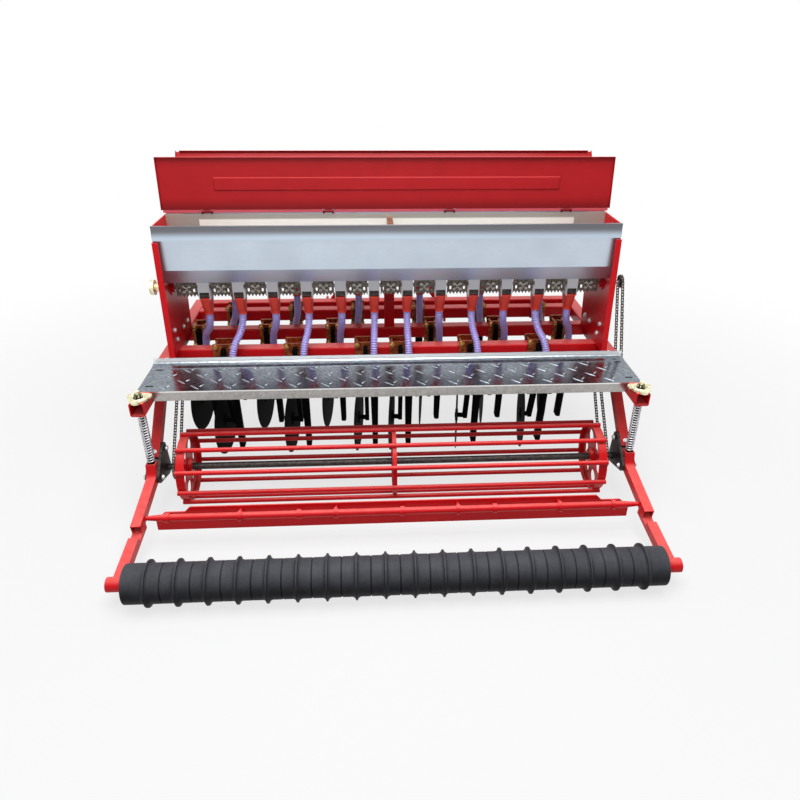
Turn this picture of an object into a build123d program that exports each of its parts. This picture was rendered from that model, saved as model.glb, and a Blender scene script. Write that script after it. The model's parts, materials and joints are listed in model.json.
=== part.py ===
"""Twelve-row mounted seed and fertiliser drill.

+X is the right-hand side, +Y the direction of travel, +Z up, ground at Z = 0.
The origin is on the ground under the middle of the machine.
Sizes are in millimetres; a name ending in _Y, _Z or _X is a place, the others are sizes.
"""
from build123d import *
import math
import os

os.makedirs("parts", exist_ok=True)

# ---- overall ----
HALF_LENGTH = 935
SIDE_X = 1032
FRAME_TOP_Z = 569
FIT = 0.05

# ---- rows ----
ROWS = 12
ROW_PITCH = 165
METER_PITCH = 150
FERT_ROWS = 6
FERT_TUBE_Z = 310

# ---- square-tube frame ----
TUBE = 60
TUBE_WALL = 5
TUBE_ROUND = 8
SIDE_BEAM_REAR_Y = -357
REAR_BAR_Y = 184
MIDDLE_BAR_STEP = 237
FRONT_BAR_STEP = 255
HITCH_BAR_STEP = 122
MIDDLE_BAR_Y = REAR_BAR_Y + MIDDLE_BAR_STEP
FRONT_BAR_Y = MIDDLE_BAR_Y + FRONT_BAR_STEP
HITCH_BAR_Y = FRONT_BAR_Y + HITCH_BAR_STEP

# ---- seed and fertiliser box ----
BOX_INSET = 45
BOX_HALF = SIDE_X - BOX_INSET
PLATE = 4
SHEET = 2
RIM_Z = 1170
SKIRT = 60
SKIRT_OUT = 9
BOX_REAR_Y = 61
DIVIDER_Y = 273
BOX_FRONT_Y = 508
FOLD_Z = 980
FLOOR_Z = 906
DIVIDER_FOOT = 70
METER_DEPTH = 80
METER_WIDTH = 50
METER_WALL = 2
METER_HEIGHT = 80
METER_GAP = 73
WINDOW_HEIGHT = 34
CUT_OFF_Y = 130
CUT_OFF_HEIGHT = 68
FUNNEL_BOTTOM_Z = 748
FUNNEL_WALL = 2.5
FUNNEL_COLLAR = 7
HOSE_R = 17
HOSE_IN_NECK = 6

KNOB_X = BOX_HALF + 75

# ---- lids ----
LID_SHEET = 1.5
LID_FLANGE = 15
LID_SIDE_GAP = 5.5
HINGE_R = 6
HINGE_Z = RIM_Z + 9
PIN_R = 3
REAR_LID = 227
FRONT_LID = 230
REAR_HINGE_Y = 272
FRONT_HINGE_Y = 514
REAR_LID_LEAN = 5
FRONT_LID_LEAN = 31
PANEL_LONG = 1520
PANEL_WIDE = 56
PANEL_DEEP = 4
HINGE_X = (-800, -270, 270, 800)

# ---- openers ----
DISC_R = 170
DISC_THICK = 4
DISC_ANGLE = 7
DISC_AHEAD = 51
LEG_OFFSET = 38
LEG_THICK = 20
LEG_WIDE = 40
LEG_TOP_Z = FRAME_TOP_Z + 8
CLAMP_THICK = 8
CLAMP_REACH = 28
CLAMP_BOLT_R = 6
REAR_CLAMP_WIDE = 100
FRONT_CLAMP_WIDE = 68
HUB_GAP = 32
AXLE_R = 12
BOOT_BACK = 49

# ---- ground-drive cage wheel ----
CAGE_Y = -214
CAGE_HALF = SIDE_X - 100
CAGE_ROD_R = 10
CAGE_R = 158
CAGE_BARS = 10
CAGE_PHASE = -5
SHAFT_R = 15
CAGE_Z = CAGE_R + CAGE_ROD_R
CHAIN_X = CAGE_HALF + 36
OUTER_CHAIN_X = SIDE_X + TUBE / 2 + 11
CROSS_CHAIN_X = BOX_HALF + 17
HANGER_X = SIDE_X - 25
CROSS_Y = 46
CROSS_DROP = 34
CROSS_Z = FRAME_TOP_Z - TUBE - CROSS_DROP
CROSS_R = 12
CROSS_LUG_R = 24
CROSS_LUG_THICK = 8

# ---- press roller and its arms ----
ROLLER_RIB_R = 87
ROLLER_BODY_R = 74
RUBBER = 18
ROLLER_RIBS = 18
RIB_PITCH = 108.3
RIB_FOOT = 21
RIB_CREST = 3
SEAM_DEEP = 4
SEAM_WIDE = 6
ROLLER_Y = -HALF_LENGTH + ROLLER_RIB_R
ROLLER_Z = ROLLER_RIB_R
ARM = 40
ARM_WALL = 4
ARM_X = SIDE_X + 2
ROLLER_HALF = ARM_X - ARM / 2 - 9
HOUSING_R = 28
HOUSING_LENGTH = 60
PIVOT_Y = -329
PIVOT_Z = 194
CLAMP_Y = -571
CLAMP_Z = 144
SPRING_FOOT_Y = -317
SPRING_FOOT_Z = 262

# ---- step board ----
BOARD_REAR_Y = -262
BOARD_FRONT_Y = 5
BOARD_SHEET = 3
BOARD_LIP = 44
BOARD_UPSTAND = 30
BOARD_FOLD = 50
BOARD_RISE = 7

# ---- three-point hitch ----
LOWER_PIN_R = 11
LOWER_SPREAD = 683
LOWER_PIN_LENGTH = 90
LOWER_PIN_AHEAD = 75
LOWER_PIN_Y = HITCH_BAR_Y + TUBE / 2 + LOWER_PIN_AHEAD
LOWER_PIN_Z = 420
TOP_LINK_R = 9.65
TOP_LINK_GAP = 52
TOP_LINK_AHEAD = 52
TOP_LINK_Y = HITCH_BAR_Y + TUBE / 2 + TOP_LINK_AHEAD
MAST_HEIGHT = 460
MAST_BAR = 50
EAR = 12
EAR_R = 30
TOP_LINK_Z = LOWER_PIN_Z + MAST_HEIGHT


def save(piece, name):
    """Label a finished piece and write it as one STEP file."""
    piece.part.label = name
    export_step(piece.part, f"parts/{name}.step")


def row_x(index, count, pitch):
    return (index - (count - 1) / 2) * pitch


def tube_x(name, y, z, half, size=TUBE, wall=TUBE_WALL):
    """Square tube that runs across the machine."""
    with BuildPart() as piece:
        with BuildSketch(Plane.YZ.offset(-half)):
            with Locations((y, z)):
                RectangleRounded(size, size, TUBE_ROUND)
                RectangleRounded(size - 2 * wall, size - 2 * wall, TUBE_ROUND - wall + 1, mode=Mode.SUBTRACT)
        extrude(amount=2 * half)
    save(piece, name)


def tube_y(name, x, z, rear, front):
    """Square tube that runs along the machine."""
    with BuildPart() as piece:
        with BuildSketch(Plane.XZ.offset(-rear)):
            with Locations((x, z)):
                RectangleRounded(TUBE, TUBE, TUBE_ROUND)
                inner = TUBE - 2 * TUBE_WALL
                RectangleRounded(inner, inner, TUBE_ROUND - TUBE_WALL + 1, mode=Mode.SUBTRACT)
        extrude(amount=rear - front)
    save(piece, name)


# ---------------------------------------------------------------- frame
frame_z = FRAME_TOP_Z - TUBE / 2
beam_bottom_z = FRAME_TOP_Z - TUBE
bar_half = SIDE_X - TUBE / 2
tube_y("left_side_beam", -SIDE_X, frame_z, SIDE_BEAM_REAR_Y, HITCH_BAR_Y + TUBE / 2)
tube_y("right_side_beam", SIDE_X, frame_z, SIDE_BEAM_REAR_Y, HITCH_BAR_Y + TUBE / 2)
tube_x("rear_toolbar", REAR_BAR_Y, frame_z, bar_half)
tube_x("middle_toolbar", MIDDLE_BAR_Y, frame_z, bar_half)
tube_x("front_toolbar", FRONT_BAR_Y, frame_z, bar_half)
tube_x("hitch_beam", HITCH_BAR_Y, frame_z, bar_half)

# ---------------------------------------------------------------- box ends
leg_rear_y = BOARD_FRONT_Y
leg_front_y = MIDDLE_BAR_Y - 20
skirt_bottom = RIM_Z - SKIRT
skirt_in_rear_y = BOX_REAR_Y - SKIRT_OUT + SHEET
box_outline = [
    (skirt_in_rear_y, RIM_Z - SHEET), (skirt_in_rear_y, skirt_bottom - 4), (35, skirt_bottom - 4),
    (leg_rear_y, FRAME_TOP_Z + PLATE), (leg_front_y, FRAME_TOP_Z + PLATE),
    (leg_front_y + 29, 850), (BOX_FRONT_Y + 4, 960), (BOX_FRONT_Y + 4, RIM_Z - SHEET),
]
METER_SHAFT_R = 9
SHAFT_DROP = 44
meter_shaft_z = FLOOR_Z - SHAFT_DROP
meter_rear_y = DIVIDER_Y - METER_GAP - METER_DEPTH
meter_front_y = DIVIDER_Y + METER_GAP
seed_shaft_y = meter_rear_y + METER_DEPTH - 8
fert_shaft_y = meter_front_y + 8


def end_plate(name, side):
    """Side plate of the box with its folded rear edge and the foot that stands on the side beam."""
    inner = side * BOX_HALF if side < 0 else BOX_HALF - PLATE
    with BuildPart() as piece:
        with BuildSketch(Plane.YZ.offset(inner)):
            Polygon(*box_outline, align=None)
        extrude(amount=PLATE)
        flange = 25
        with BuildSketch(Plane.YZ.offset(inner if side < 0 else BOX_HALF - flange)):
            top_y, top_z = (35, skirt_bottom - 4)
            foot_z = FRAME_TOP_Z + PLATE
            Polygon((top_y, top_z), (leg_rear_y, foot_z), (leg_rear_y + PLATE, foot_z), (top_y + PLATE, top_z),
                    align=None)
        extrude(amount=flange)
        with BuildSketch(Plane.YZ.offset(inner)):
            with Locations((seed_shaft_y, meter_shaft_z), (fert_shaft_y, meter_shaft_z)):
                Circle(METER_SHAFT_R + 0.3)
        extrude(amount=PLATE, mode=Mode.SUBTRACT)
        with BuildSketch(Plane.XY.offset(FRAME_TOP_Z)):
            foot_in = BOX_HALF - PLATE
            foot_out = SIDE_X + 10
            with Locations((side * (foot_in + foot_out) / 2, (leg_rear_y + leg_front_y) / 2)):
                Rectangle(foot_out - foot_in, leg_front_y - leg_rear_y)
        extrude(amount=PLATE)
    save(piece, name)


end_plate("left_end_plate", -1)
end_plate("right_end_plate", 1)

# ---------------------------------------------------------------- bins
bin_half = BOX_HALF - PLATE


def bin_shell(name, outer_wall, outer_meter, inner_meter, out, meters, pitch):
    """Folded sheet bin: outer wall, sloping floor, outlet strip and the wall on the divider."""
    inner_wall = DIVIDER_Y
    with BuildPart() as piece:
        with BuildSketch(Plane.YZ.offset(-bin_half)):
            Polygon((outer_wall, RIM_Z), (outer_wall, FOLD_Z), (outer_meter, FLOOR_Z),
                    (inner_meter, FLOOR_Z), (inner_wall, FLOOR_Z + DIVIDER_FOOT), (inner_wall, RIM_Z), align=None)
            Polygon((outer_wall - out * SHEET, RIM_Z), (outer_wall - out * SHEET, FOLD_Z + 1),
                    (outer_meter - out * 1, FLOOR_Z + SHEET), (inner_meter + out * 1, FLOOR_Z + SHEET),
                    (inner_wall + out * SHEET, FLOOR_Z + DIVIDER_FOOT + 1), (inner_wall + out * SHEET, RIM_Z),
                    align=None, mode=Mode.SUBTRACT)
        extrude(amount=2 * bin_half)
        mid = (outer_meter + inner_meter) / 2
        with BuildSketch(Plane.XY.offset(FLOOR_Z)):
            with Locations([(row_x(i, meters, pitch), mid) for i in range(meters)]):
                Rectangle(44, METER_DEPTH - 30)
        extrude(amount=SHEET, mode=Mode.SUBTRACT)
        skirt_wall = outer_wall + out * SKIRT_OUT
        with BuildSketch(Plane.YZ.offset(-BOX_HALF)):
            Polygon((outer_wall, RIM_Z), (skirt_wall, RIM_Z), (skirt_wall, RIM_Z - SKIRT),
                    (skirt_wall - out * SHEET, RIM_Z - SKIRT), (skirt_wall - out * SHEET, RIM_Z - SHEET),
                    (outer_wall, RIM_Z - SHEET), align=None)
        extrude(amount=2 * BOX_HALF)
    save(piece, name)


bin_shell("seed_bin", BOX_REAR_Y, meter_rear_y, meter_rear_y + METER_DEPTH, -1, ROWS, METER_PITCH)
bin_shell("fertiliser_bin", BOX_FRONT_Y, meter_front_y + METER_DEPTH, meter_front_y, 1,
          FERT_ROWS, 2 * METER_PITCH)

# post that carries the middle of the box on the middle toolbar
with BuildPart() as box_post:
    slope = (FOLD_Z - FLOOR_Z) / (BOX_FRONT_Y - meter_front_y - METER_DEPTH)
    post_rear = MIDDLE_BAR_Y - 25
    post_front = MIDDLE_BAR_Y + 25
    with BuildSketch(Plane.YZ.offset(-25)):
        Polygon((post_rear, FRAME_TOP_Z), (post_front, FRAME_TOP_Z),
                (post_front, FLOOR_Z + slope * (post_front - meter_front_y - METER_DEPTH)),
                (post_rear, FLOOR_Z + slope * (post_rear - meter_front_y - METER_DEPTH)), align=None)
    extrude(amount=50)
save(box_post, "box_post")


# ---------------------------------------------------------------- lids and their hinges
def lid(name, hinge_y, length, lean, lip_half):
    """Folded lid with a pressed panel, built shut over its bin and turned back to where it rests open."""
    half = BOX_HALF + LID_SIDE_GAP + LID_SHEET
    knuckle = 2 * HINGE_R + 18
    panel_y = -(length + HINGE_R) / 2
    with BuildPart() as piece:
        with BuildSketch(Plane.XY.offset(-LID_SHEET / 2)):
            with Locations((0, -(length + HINGE_R + 2) / 2)):
                Rectangle(2 * half, length - HINGE_R - 2)
        extrude(amount=LID_SHEET)
        with BuildSketch(Plane.XY.offset(-LID_FLANGE)):
            with Locations((0, -(length + HINGE_R + 2) / 2)):
                Rectangle(2 * half, length - HINGE_R - 2)
            with Locations((0, -(length - LID_SHEET + HINGE_R - 2) / 2)):
                Rectangle(2 * half - 2 * LID_SHEET, length - LID_SHEET - HINGE_R + 2, mode=Mode.SUBTRACT)
            for side in (-1, 1):
                with Locations((side * (half - LID_SHEET + lip_half) / 2, -length)):
                    Rectangle(half - LID_SHEET - lip_half, 6 * LID_SHEET, mode=Mode.SUBTRACT)
        extrude(amount=LID_FLANGE)
        for top, wide in ((-LID_SHEET / 2, 0), (LID_SHEET / 2, 2 * LID_SHEET)):
            with BuildSketch(Plane.XY.offset(top)):
                with Locations((0, panel_y)):
                    Rectangle(PANEL_LONG - wide, PANEL_WIDE - wide)
            with BuildSketch(Plane.XY.offset(top - PANEL_DEEP)):
                with Locations((0, panel_y)):
                    Rectangle(PANEL_LONG - wide - 2 * PANEL_DEEP, PANEL_WIDE - wide - 2 * PANEL_DEEP)
            loft(mode=Mode.SUBTRACT if wide else Mode.ADD)
        for x in HINGE_X:
            with BuildSketch(Plane.YZ.offset(x - knuckle / 2)):
                Circle(HINGE_R)
                with Locations((-(HINGE_R + 6) / 2, 0)):
                    Rectangle(HINGE_R + 6, LID_SHEET)
                Circle(PIN_R + FIT, mode=Mode.SUBTRACT)
            extrude(amount=knuckle)
    opened = Pos(0, hinge_y, HINGE_Z) * Rot(-(90 + lean), 0, 0) * piece.part
    opened.label = name
    export_step(opened, f"parts/{name}.step")


lid("seed_lid", REAR_HINGE_Y, REAR_LID, REAR_LID_LEAN, BOX_HALF + LID_SIDE_GAP)
lid("fertiliser_lid", FRONT_HINGE_Y, FRONT_LID, FRONT_LID_LEAN, BOX_HALF - PLATE - LID_SIDE_GAP)


# fixed halves of the hinges: a pin with a knuckle at each end, on a leaf that stands on the rim
with BuildPart() as lid_hinges:
    knuckle = 2 * HINGE_R + 18
    ear = 10
    for hinge_y in (REAR_HINGE_Y, FRONT_HINGE_Y):
        for x in HINGE_X:
            with BuildSketch(Plane.YZ.offset(x - knuckle / 2 - ear - 0.5)):
                with Locations((hinge_y, HINGE_Z)):
                    Circle(PIN_R)
            extrude(amount=knuckle + 2 * ear + 1)
            for start in (x - knuckle / 2 - ear - 0.5, x + knuckle / 2 + 0.5):
                with BuildSketch(Plane.YZ.offset(start)):
                    with Locations((hinge_y, HINGE_Z)):
                        Circle(HINGE_R)
                    with Locations((hinge_y, (HINGE_Z + RIM_Z) / 2)):
                        Rectangle(2 * HINGE_R - 6, HINGE_Z - RIM_Z)
                extrude(amount=ear)
save(lid_hinges, "lid_hinges")

# ---------------------------------------------------------------- metering


def meters(name, y, count, pitch, shaft_y, window):
    """Row of sheet cups under the outlets, open below, with the roller shaft's hole through them.

    A window is cut in each cup's rear wall, and toothed cut-off slides hang between the cups.
    """
    bottom_z = FLOOR_Z - METER_HEIGHT
    inner_wide = METER_WIDTH - 2 * METER_WALL
    with BuildPart() as piece:
        for i in range(count):
            with BuildSketch(Plane.XY.offset(bottom_z)):
                with Locations((row_x(i, count, pitch), y)):
                    Rectangle(METER_WIDTH, METER_DEPTH)
                    Rectangle(inner_wide, METER_DEPTH - 2 * METER_WALL, mode=Mode.SUBTRACT)
            extrude(amount=METER_HEIGHT)
            if window:
                with BuildSketch(Plane.XZ.offset(-y)):
                    with Locations((row_x(i, count, pitch), bottom_z + WINDOW_HEIGHT / 2)):
                        Rectangle(inner_wide - 4, WINDOW_HEIGHT)
                extrude(amount=METER_DEPTH, mode=Mode.SUBTRACT)
        with BuildSketch(Plane.YZ.offset(-BOX_HALF)):
            with Locations((shaft_y, meter_shaft_z)):
                Circle(METER_SHAFT_R + 1)
        extrude(amount=2 * BOX_HALF, mode=Mode.SUBTRACT)
        if window:
            slide_wide = pitch - METER_WIDTH - 8
            teeth = 6
            tooth = slide_wide / teeth
            for i in range(count + 1):
                middle = row_x(i, count + 1, pitch)
                with BuildSketch(Plane.XZ.offset(-CUT_OFF_Y)):
                    with Locations((middle, FLOOR_Z - CUT_OFF_HEIGHT / 2)):
                        Rectangle(slide_wide, CUT_OFF_HEIGHT)
                    with Locations([(middle + (k - (teeth - 1) / 2) * tooth, FLOOR_Z - CUT_OFF_HEIGHT)
                                    for k in range(teeth)]):
                        Polygon((-tooth / 2, -1), (tooth / 2, -1), (0, tooth * 0.7), align=None,
                                mode=Mode.SUBTRACT)
                    with Locations((middle - slide_wide / 3, FLOOR_Z - CUT_OFF_HEIGHT / 2),
                                   (middle + slide_wide / 3, FLOOR_Z - CUT_OFF_HEIGHT / 2)):
                        SlotOverall(26, 9, rotation=90, mode=Mode.SUBTRACT)
                extrude(amount=-METER_WALL)
    save(piece, name)


meters("seed_meters", meter_rear_y + METER_DEPTH / 2, ROWS, METER_PITCH, seed_shaft_y, window=True)
meters("fertiliser_meters", meter_front_y + METER_DEPTH / 2, FERT_ROWS, 2 * METER_PITCH, fert_shaft_y,
       window=False)

# (shaft's place, left end, right end)
meter_shaft_table = [
    (seed_shaft_y, -KNOB_X - 15, OUTER_CHAIN_X + 8),
    (fert_shaft_y, -BOX_HALF - 10, CROSS_CHAIN_X + 8),
]
with BuildPart() as meter_shafts:
    for y, left, right in meter_shaft_table:
        with BuildSketch(Plane.YZ.offset(left)):
            with Locations((y, meter_shaft_z)):
                Circle(METER_SHAFT_R)
        extrude(amount=right - left)
save(meter_shafts, "meter_shafts")

FUNNEL_NECK = 10
FUNNEL_TOP_Z = FLOOR_Z - METER_HEIGHT + 5
neck_r = HOSE_R + 0.9
with BuildPart() as funnels:
    for count, pitch, y in ((ROWS, METER_PITCH, meter_rear_y + METER_DEPTH / 2),
                            (FERT_ROWS, 2 * METER_PITCH, meter_front_y + METER_DEPTH / 2)):
        for i in range(count):
            x = row_x(i, count, pitch)
            for shrink, mode in ((0, Mode.ADD), (FUNNEL_WALL, Mode.SUBTRACT)):
                mouth_x = METER_WIDTH - 2 * METER_WALL - 2 * shrink
                mouth_y = METER_DEPTH - 2 * METER_WALL - 2 * shrink
                neck = 2 * (neck_r + FUNNEL_WALL - shrink)
                with BuildSketch(Plane.XY.offset(FUNNEL_TOP_Z - FUNNEL_COLLAR)) as mouth:
                    with Locations((x, y)):
                        RectangleRounded(mouth_x, mouth_y, 8 - shrink)
                extrude(mouth.sketch, amount=FUNNEL_COLLAR, mode=mode)
                with BuildSketch(Plane.XY.offset(FUNNEL_BOTTOM_Z + FUNNEL_NECK)) as throat:
                    with Locations((x, y)):
                        RectangleRounded(neck, neck, neck / 2 - 0.1)
                loft([mouth.sketch, throat.sketch], mode=mode)
            with BuildSketch(Plane.XY.offset(FUNNEL_BOTTOM_Z)) as spout:
                with Locations((x, y)):
                    Circle(neck_r + FUNNEL_WALL)
                    Circle(neck_r, mode=Mode.SUBTRACT)
            extrude(spout.sketch, amount=FUNNEL_NECK)
save(funnels, "funnels")


# ---------------------------------------------------------------- openers
def rank_of(index):
    """The twelve rows alternate between the two toolbars, mirrored about the middle."""
    mirrored = index if index < ROWS // 2 else ROWS - 1 - index
    return "front" if mirrored % 2 == 0 else "rear"


BAR_OF = {"rear": REAR_BAR_Y, "front": MIDDLE_BAR_Y}
BOOT_TOP_Z = 440
opener_rows = [(i, row_x(i, ROWS, ROW_PITCH), BAR_OF[rank_of(i)] - TUBE / 2) for i in range(ROWS)]

HUB_HALF = 7
fert_face = FRONT_BAR_Y - TUBE / 2


def disc_plane(x, face):
    """Plane of a disc, through its middle, turned so that its leading edge points to the right."""
    middle = (x - LEG_OFFSET - LEG_THICK / 2 - HUB_GAP, face - LEG_WIDE / 2 + DISC_AHEAD, DISC_R)
    lean = math.radians(DISC_ANGLE)
    return Plane(origin=middle, x_dir=(0, 0, 1), z_dir=(math.cos(lean), -math.sin(lean), 0))


with BuildPart() as opener_legs:
    for i, x, face in opener_rows:
        leg_y = face - LEG_WIDE / 2
        hub_y = leg_y + DISC_AHEAD
        with BuildSketch(Plane.YZ.offset(x - LEG_OFFSET - LEG_THICK / 2)):
            with BuildLine():
                FilletPolyline((leg_y, LEG_TOP_Z), (leg_y, 330), (hub_y, DISC_R - 5), radius=60)
            trace(line_width=LEG_WIDE)
        extrude(amount=LEG_THICK)
        outer_end = HUB_HALF + 2
        with BuildSketch(disc_plane(x, face).offset(-outer_end)):
            Circle(AXLE_R)
        extrude(amount=outer_end + HUB_GAP + 4)
save(opener_legs, "opener_legs")

clamp_rows = [(x - LEG_OFFSET, face, REAR_CLAMP_WIDE if rank_of(i) == "rear" else FRONT_CLAMP_WIDE)
              for i, x, face in opener_rows]
clamp_rows += [(row_x(i, FERT_ROWS, 2 * ROW_PITCH), fert_face, FRONT_CLAMP_WIDE) for i in range(FERT_ROWS)]
with BuildPart() as opener_clamps:
    for x, face, wide in clamp_rows:
        bolt_x = wide / 2 - CLAMP_BOLT_R - 4
        bolt_z = TUBE / 2 + CLAMP_REACH / 2
        # (rear face of the plate, slot for the leg)
        for start, slotted in ((face - CLAMP_THICK, True), (face + TUBE, False)):
            with BuildSketch(Plane.XZ.offset(-start)):
                with Locations((x, frame_z)):
                    RectangleRounded(wide, TUBE + 2 * CLAMP_REACH, 5)
                if slotted:
                    with Locations((x, LEG_TOP_Z + 2 - TUBE - CLAMP_REACH)):
                        Rectangle(LEG_THICK + 0.6, 2 * (TUBE + CLAMP_REACH), mode=Mode.SUBTRACT)
            extrude(amount=-CLAMP_THICK)
        with BuildSketch(Plane.XZ.offset(-(face - CLAMP_THICK - 6))):
            with Locations([(x + a * bolt_x, frame_z + b * bolt_z) for a in (-1, 1) for b in (-1, 1)]):
                Circle(CLAMP_BOLT_R)
        extrude(amount=-(TUBE + 2 * CLAMP_THICK + 12))
save(opener_clamps, "opener_clamps")

with BuildPart() as seed_boots:
    for i, x, face in opener_rows:
        boot_y = face - LEG_WIDE / 2 - BOOT_BACK
        with BuildSketch(Plane.XY.offset(60)):
            with Locations((x, boot_y + 40)):
                RectangleRounded(26, 60, 12)
        with BuildSketch(Plane.XY.offset(BOOT_TOP_Z - 60)):
            with Locations((x, boot_y)):
                RectangleRounded(38, 38, 18.5)
        loft()
        strap_wide = LEG_OFFSET - LEG_THICK / 2
        with BuildSketch(Plane.XY.offset(350)):
            with Locations((x - strap_wide / 2, boot_y + 22)):
                Rectangle(strap_wide, 54)
        extrude(amount=28)
save(seed_boots, "seed_boots")

for i, x, face in opener_rows:
    with BuildPart() as disc:
        with BuildSketch(disc_plane(x, face)):
            Circle(DISC_R)
            Circle(AXLE_R + FIT, mode=Mode.SUBTRACT)
        extrude(amount=DISC_THICK / 2, both=True)
        with BuildSketch(disc_plane(x, face)):
            Circle(30)
            Circle(AXLE_R + FIT, mode=Mode.SUBTRACT)
        extrude(amount=HUB_HALF, both=True)
    save(disc, f"opener_disc_{i + 1:02d}")

# ---------------------------------------------------------------- fertiliser knives
with BuildPart() as fertiliser_knives:
    for i in range(FERT_ROWS):
        x = row_x(i, FERT_ROWS, 2 * ROW_PITCH)
        knife_y = fert_face - LEG_WIDE / 2
        with BuildSketch(Plane.YZ.offset(x - LEG_THICK / 2)):
            with BuildLine():
                FilletPolyline((knife_y, LEG_TOP_Z), (knife_y, 140), (knife_y + 60, 24), radius=60)
            trace(line_width=LEG_WIDE)
        extrude(amount=LEG_THICK)
        with BuildSketch(Plane.XY.offset(FERT_TUBE_Z)):
            with Locations((x, knife_y - 42)):
                Circle(20)
            with Locations((x, knife_y - 26)):
                Rectangle(10, 24)
        extrude(amount=BOOT_TOP_Z - FERT_TUBE_Z)
save(fertiliser_knives, "fertiliser_knives")


# ---------------------------------------------------------------- hoses
def bend_radii(points):
    """Largest radius that each corner's two runs allow."""
    radii = []
    for before, corner, after in zip(points, points[1:], points[2:]):
        arriving = Vector(*corner) - Vector(*before)
        leaving = Vector(*after) - Vector(*corner)
        turn = math.radians(arriving.get_angle(leaving))
        radii.append(0.45 * min(arriving.length, leaving.length) / math.tan(turn / 2))
    return radii


def hoses(name, routes):
    with BuildPart() as piece:
        for points in routes:
            with BuildLine() as path:
                FilletPolyline(*points, radius=bend_radii(points))
            with BuildSketch(Plane(path.line @ 0, z_dir=path.line % 0)):
                Circle(HOSE_R)
            sweep(path=path.line)
    save(piece, name)


SEED_HOSE_BEND_Z = 677
FERT_HOSE_BEND_Z = 650
seed_y = meter_rear_y + METER_DEPTH / 2
seed_routes = []
for i, x, face in opener_rows:
    boot_y = face - LEG_WIDE / 2 - BOOT_BACK
    xm = row_x(i, ROWS, METER_PITCH)
    seed_routes.append([(xm, seed_y, FUNNEL_BOTTOM_Z + HOSE_IN_NECK), (xm, seed_y, SEED_HOSE_BEND_Z),
                        (x, boot_y, 578), (x, boot_y, BOOT_TOP_Z - 60)])
hoses("seed_hoses", seed_routes)

fert_y = meter_front_y + METER_DEPTH / 2
fert_routes = []
for i in range(FERT_ROWS):
    xm = row_x(i, FERT_ROWS, 2 * METER_PITCH)
    x = row_x(i, FERT_ROWS, 2 * ROW_PITCH)
    end_y = fert_face - LEG_WIDE / 2 - 42
    fert_routes.append([(xm, fert_y, FUNNEL_BOTTOM_Z + HOSE_IN_NECK), (xm, fert_y, FERT_HOSE_BEND_Z),
                        (x, end_y, BOOT_TOP_Z + 80), (x, end_y, BOOT_TOP_Z)])
hoses("fertiliser_hoses", fert_routes)

# ---------------------------------------------------------------- cage wheel
with BuildPart() as cage_wheel:
    for start, wide in ((-CAGE_HALF, 36), (-9, 18), (CAGE_HALF - 36, 36)):
        with BuildSketch(Plane.YZ.offset(start)):
            with Locations((CAGE_Y, CAGE_Z)):
                Circle(CAGE_R - CAGE_ROD_R + 2)
                Circle(CAGE_R - CAGE_ROD_R - 3, mode=Mode.SUBTRACT)
        extrude(amount=wide)
        with BuildSketch(Plane.YZ.offset(start + wide / 2 - 3)):
            with Locations((CAGE_Y, CAGE_Z)):
                Circle(CAGE_R - CAGE_ROD_R)
                Circle(SHAFT_R, mode=Mode.SUBTRACT)
                with PolarLocations(92, 6):
                    Circle(32, mode=Mode.SUBTRACT)
        extrude(amount=6)
        with BuildSketch(Plane.YZ.offset(start)):
            with Locations((CAGE_Y, CAGE_Z)):
                Circle(34)
                Circle(SHAFT_R, mode=Mode.SUBTRACT)
        extrude(amount=wide)
    for k in range(CAGE_BARS):
        angle = math.radians(CAGE_PHASE + 360 / CAGE_BARS * k)
        with BuildSketch(Plane.YZ.offset(-CAGE_HALF)):
            with Locations((CAGE_Y - CAGE_R * math.sin(angle), CAGE_Z + CAGE_R * math.cos(angle))):
                Circle(CAGE_ROD_R)
        extrude(amount=2 * CAGE_HALF)
save(cage_wheel, "cage_wheel")

with BuildPart() as cage_shaft:
    shaft_half = ARM_X - ARM / 2 - 2
    with BuildSketch(Plane.YZ.offset(-shaft_half)):
        with Locations((CAGE_Y, CAGE_Z)):
            Circle(SHAFT_R)
    extrude(amount=2 * shaft_half)
save(cage_shaft, "cage_shaft")

SPROCKET_R = 48
SMALL_SPROCKET_R = 34
METER_SPROCKET_R = 26
SPROCKET_THICK = 6
CHAIN_PITCH = 12.7
CHAIN_ROLLER_R = 4


def sprocket(x, centre, radius, bore):
    """Toothed wheel in the open part, with a gap for each roller of the chain and a hub round its shaft."""
    teeth = round(2 * math.pi * radius / CHAIN_PITCH)
    with BuildSketch(Plane.YZ.offset(x - SPROCKET_THICK / 2)) as face:
        with Locations(centre):
            Circle(radius)
            with PolarLocations(radius + CHAIN_ROLLER_R / 3, teeth):
                Circle(CHAIN_ROLLER_R, mode=Mode.SUBTRACT)
            Circle(bore, mode=Mode.SUBTRACT)
            if radius > 40:
                with PolarLocations(radius * 0.6, 5):
                    Circle(6, mode=Mode.SUBTRACT)
    extrude(face.sketch, amount=SPROCKET_THICK)
    with BuildSketch(Plane.YZ.offset(x - SPROCKET_THICK)) as hub:
        with Locations(centre):
            Circle(bore + 6)
            Circle(bore, mode=Mode.SUBTRACT)
    extrude(hub.sketch, amount=2 * SPROCKET_THICK)


with BuildPart() as cage_sprockets:
    for x in (-CHAIN_X, CHAIN_X):
        sprocket(x, (CAGE_Y, CAGE_Z), SPROCKET_R, SHAFT_R)
save(cage_sprockets, "cage_sprockets")

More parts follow.
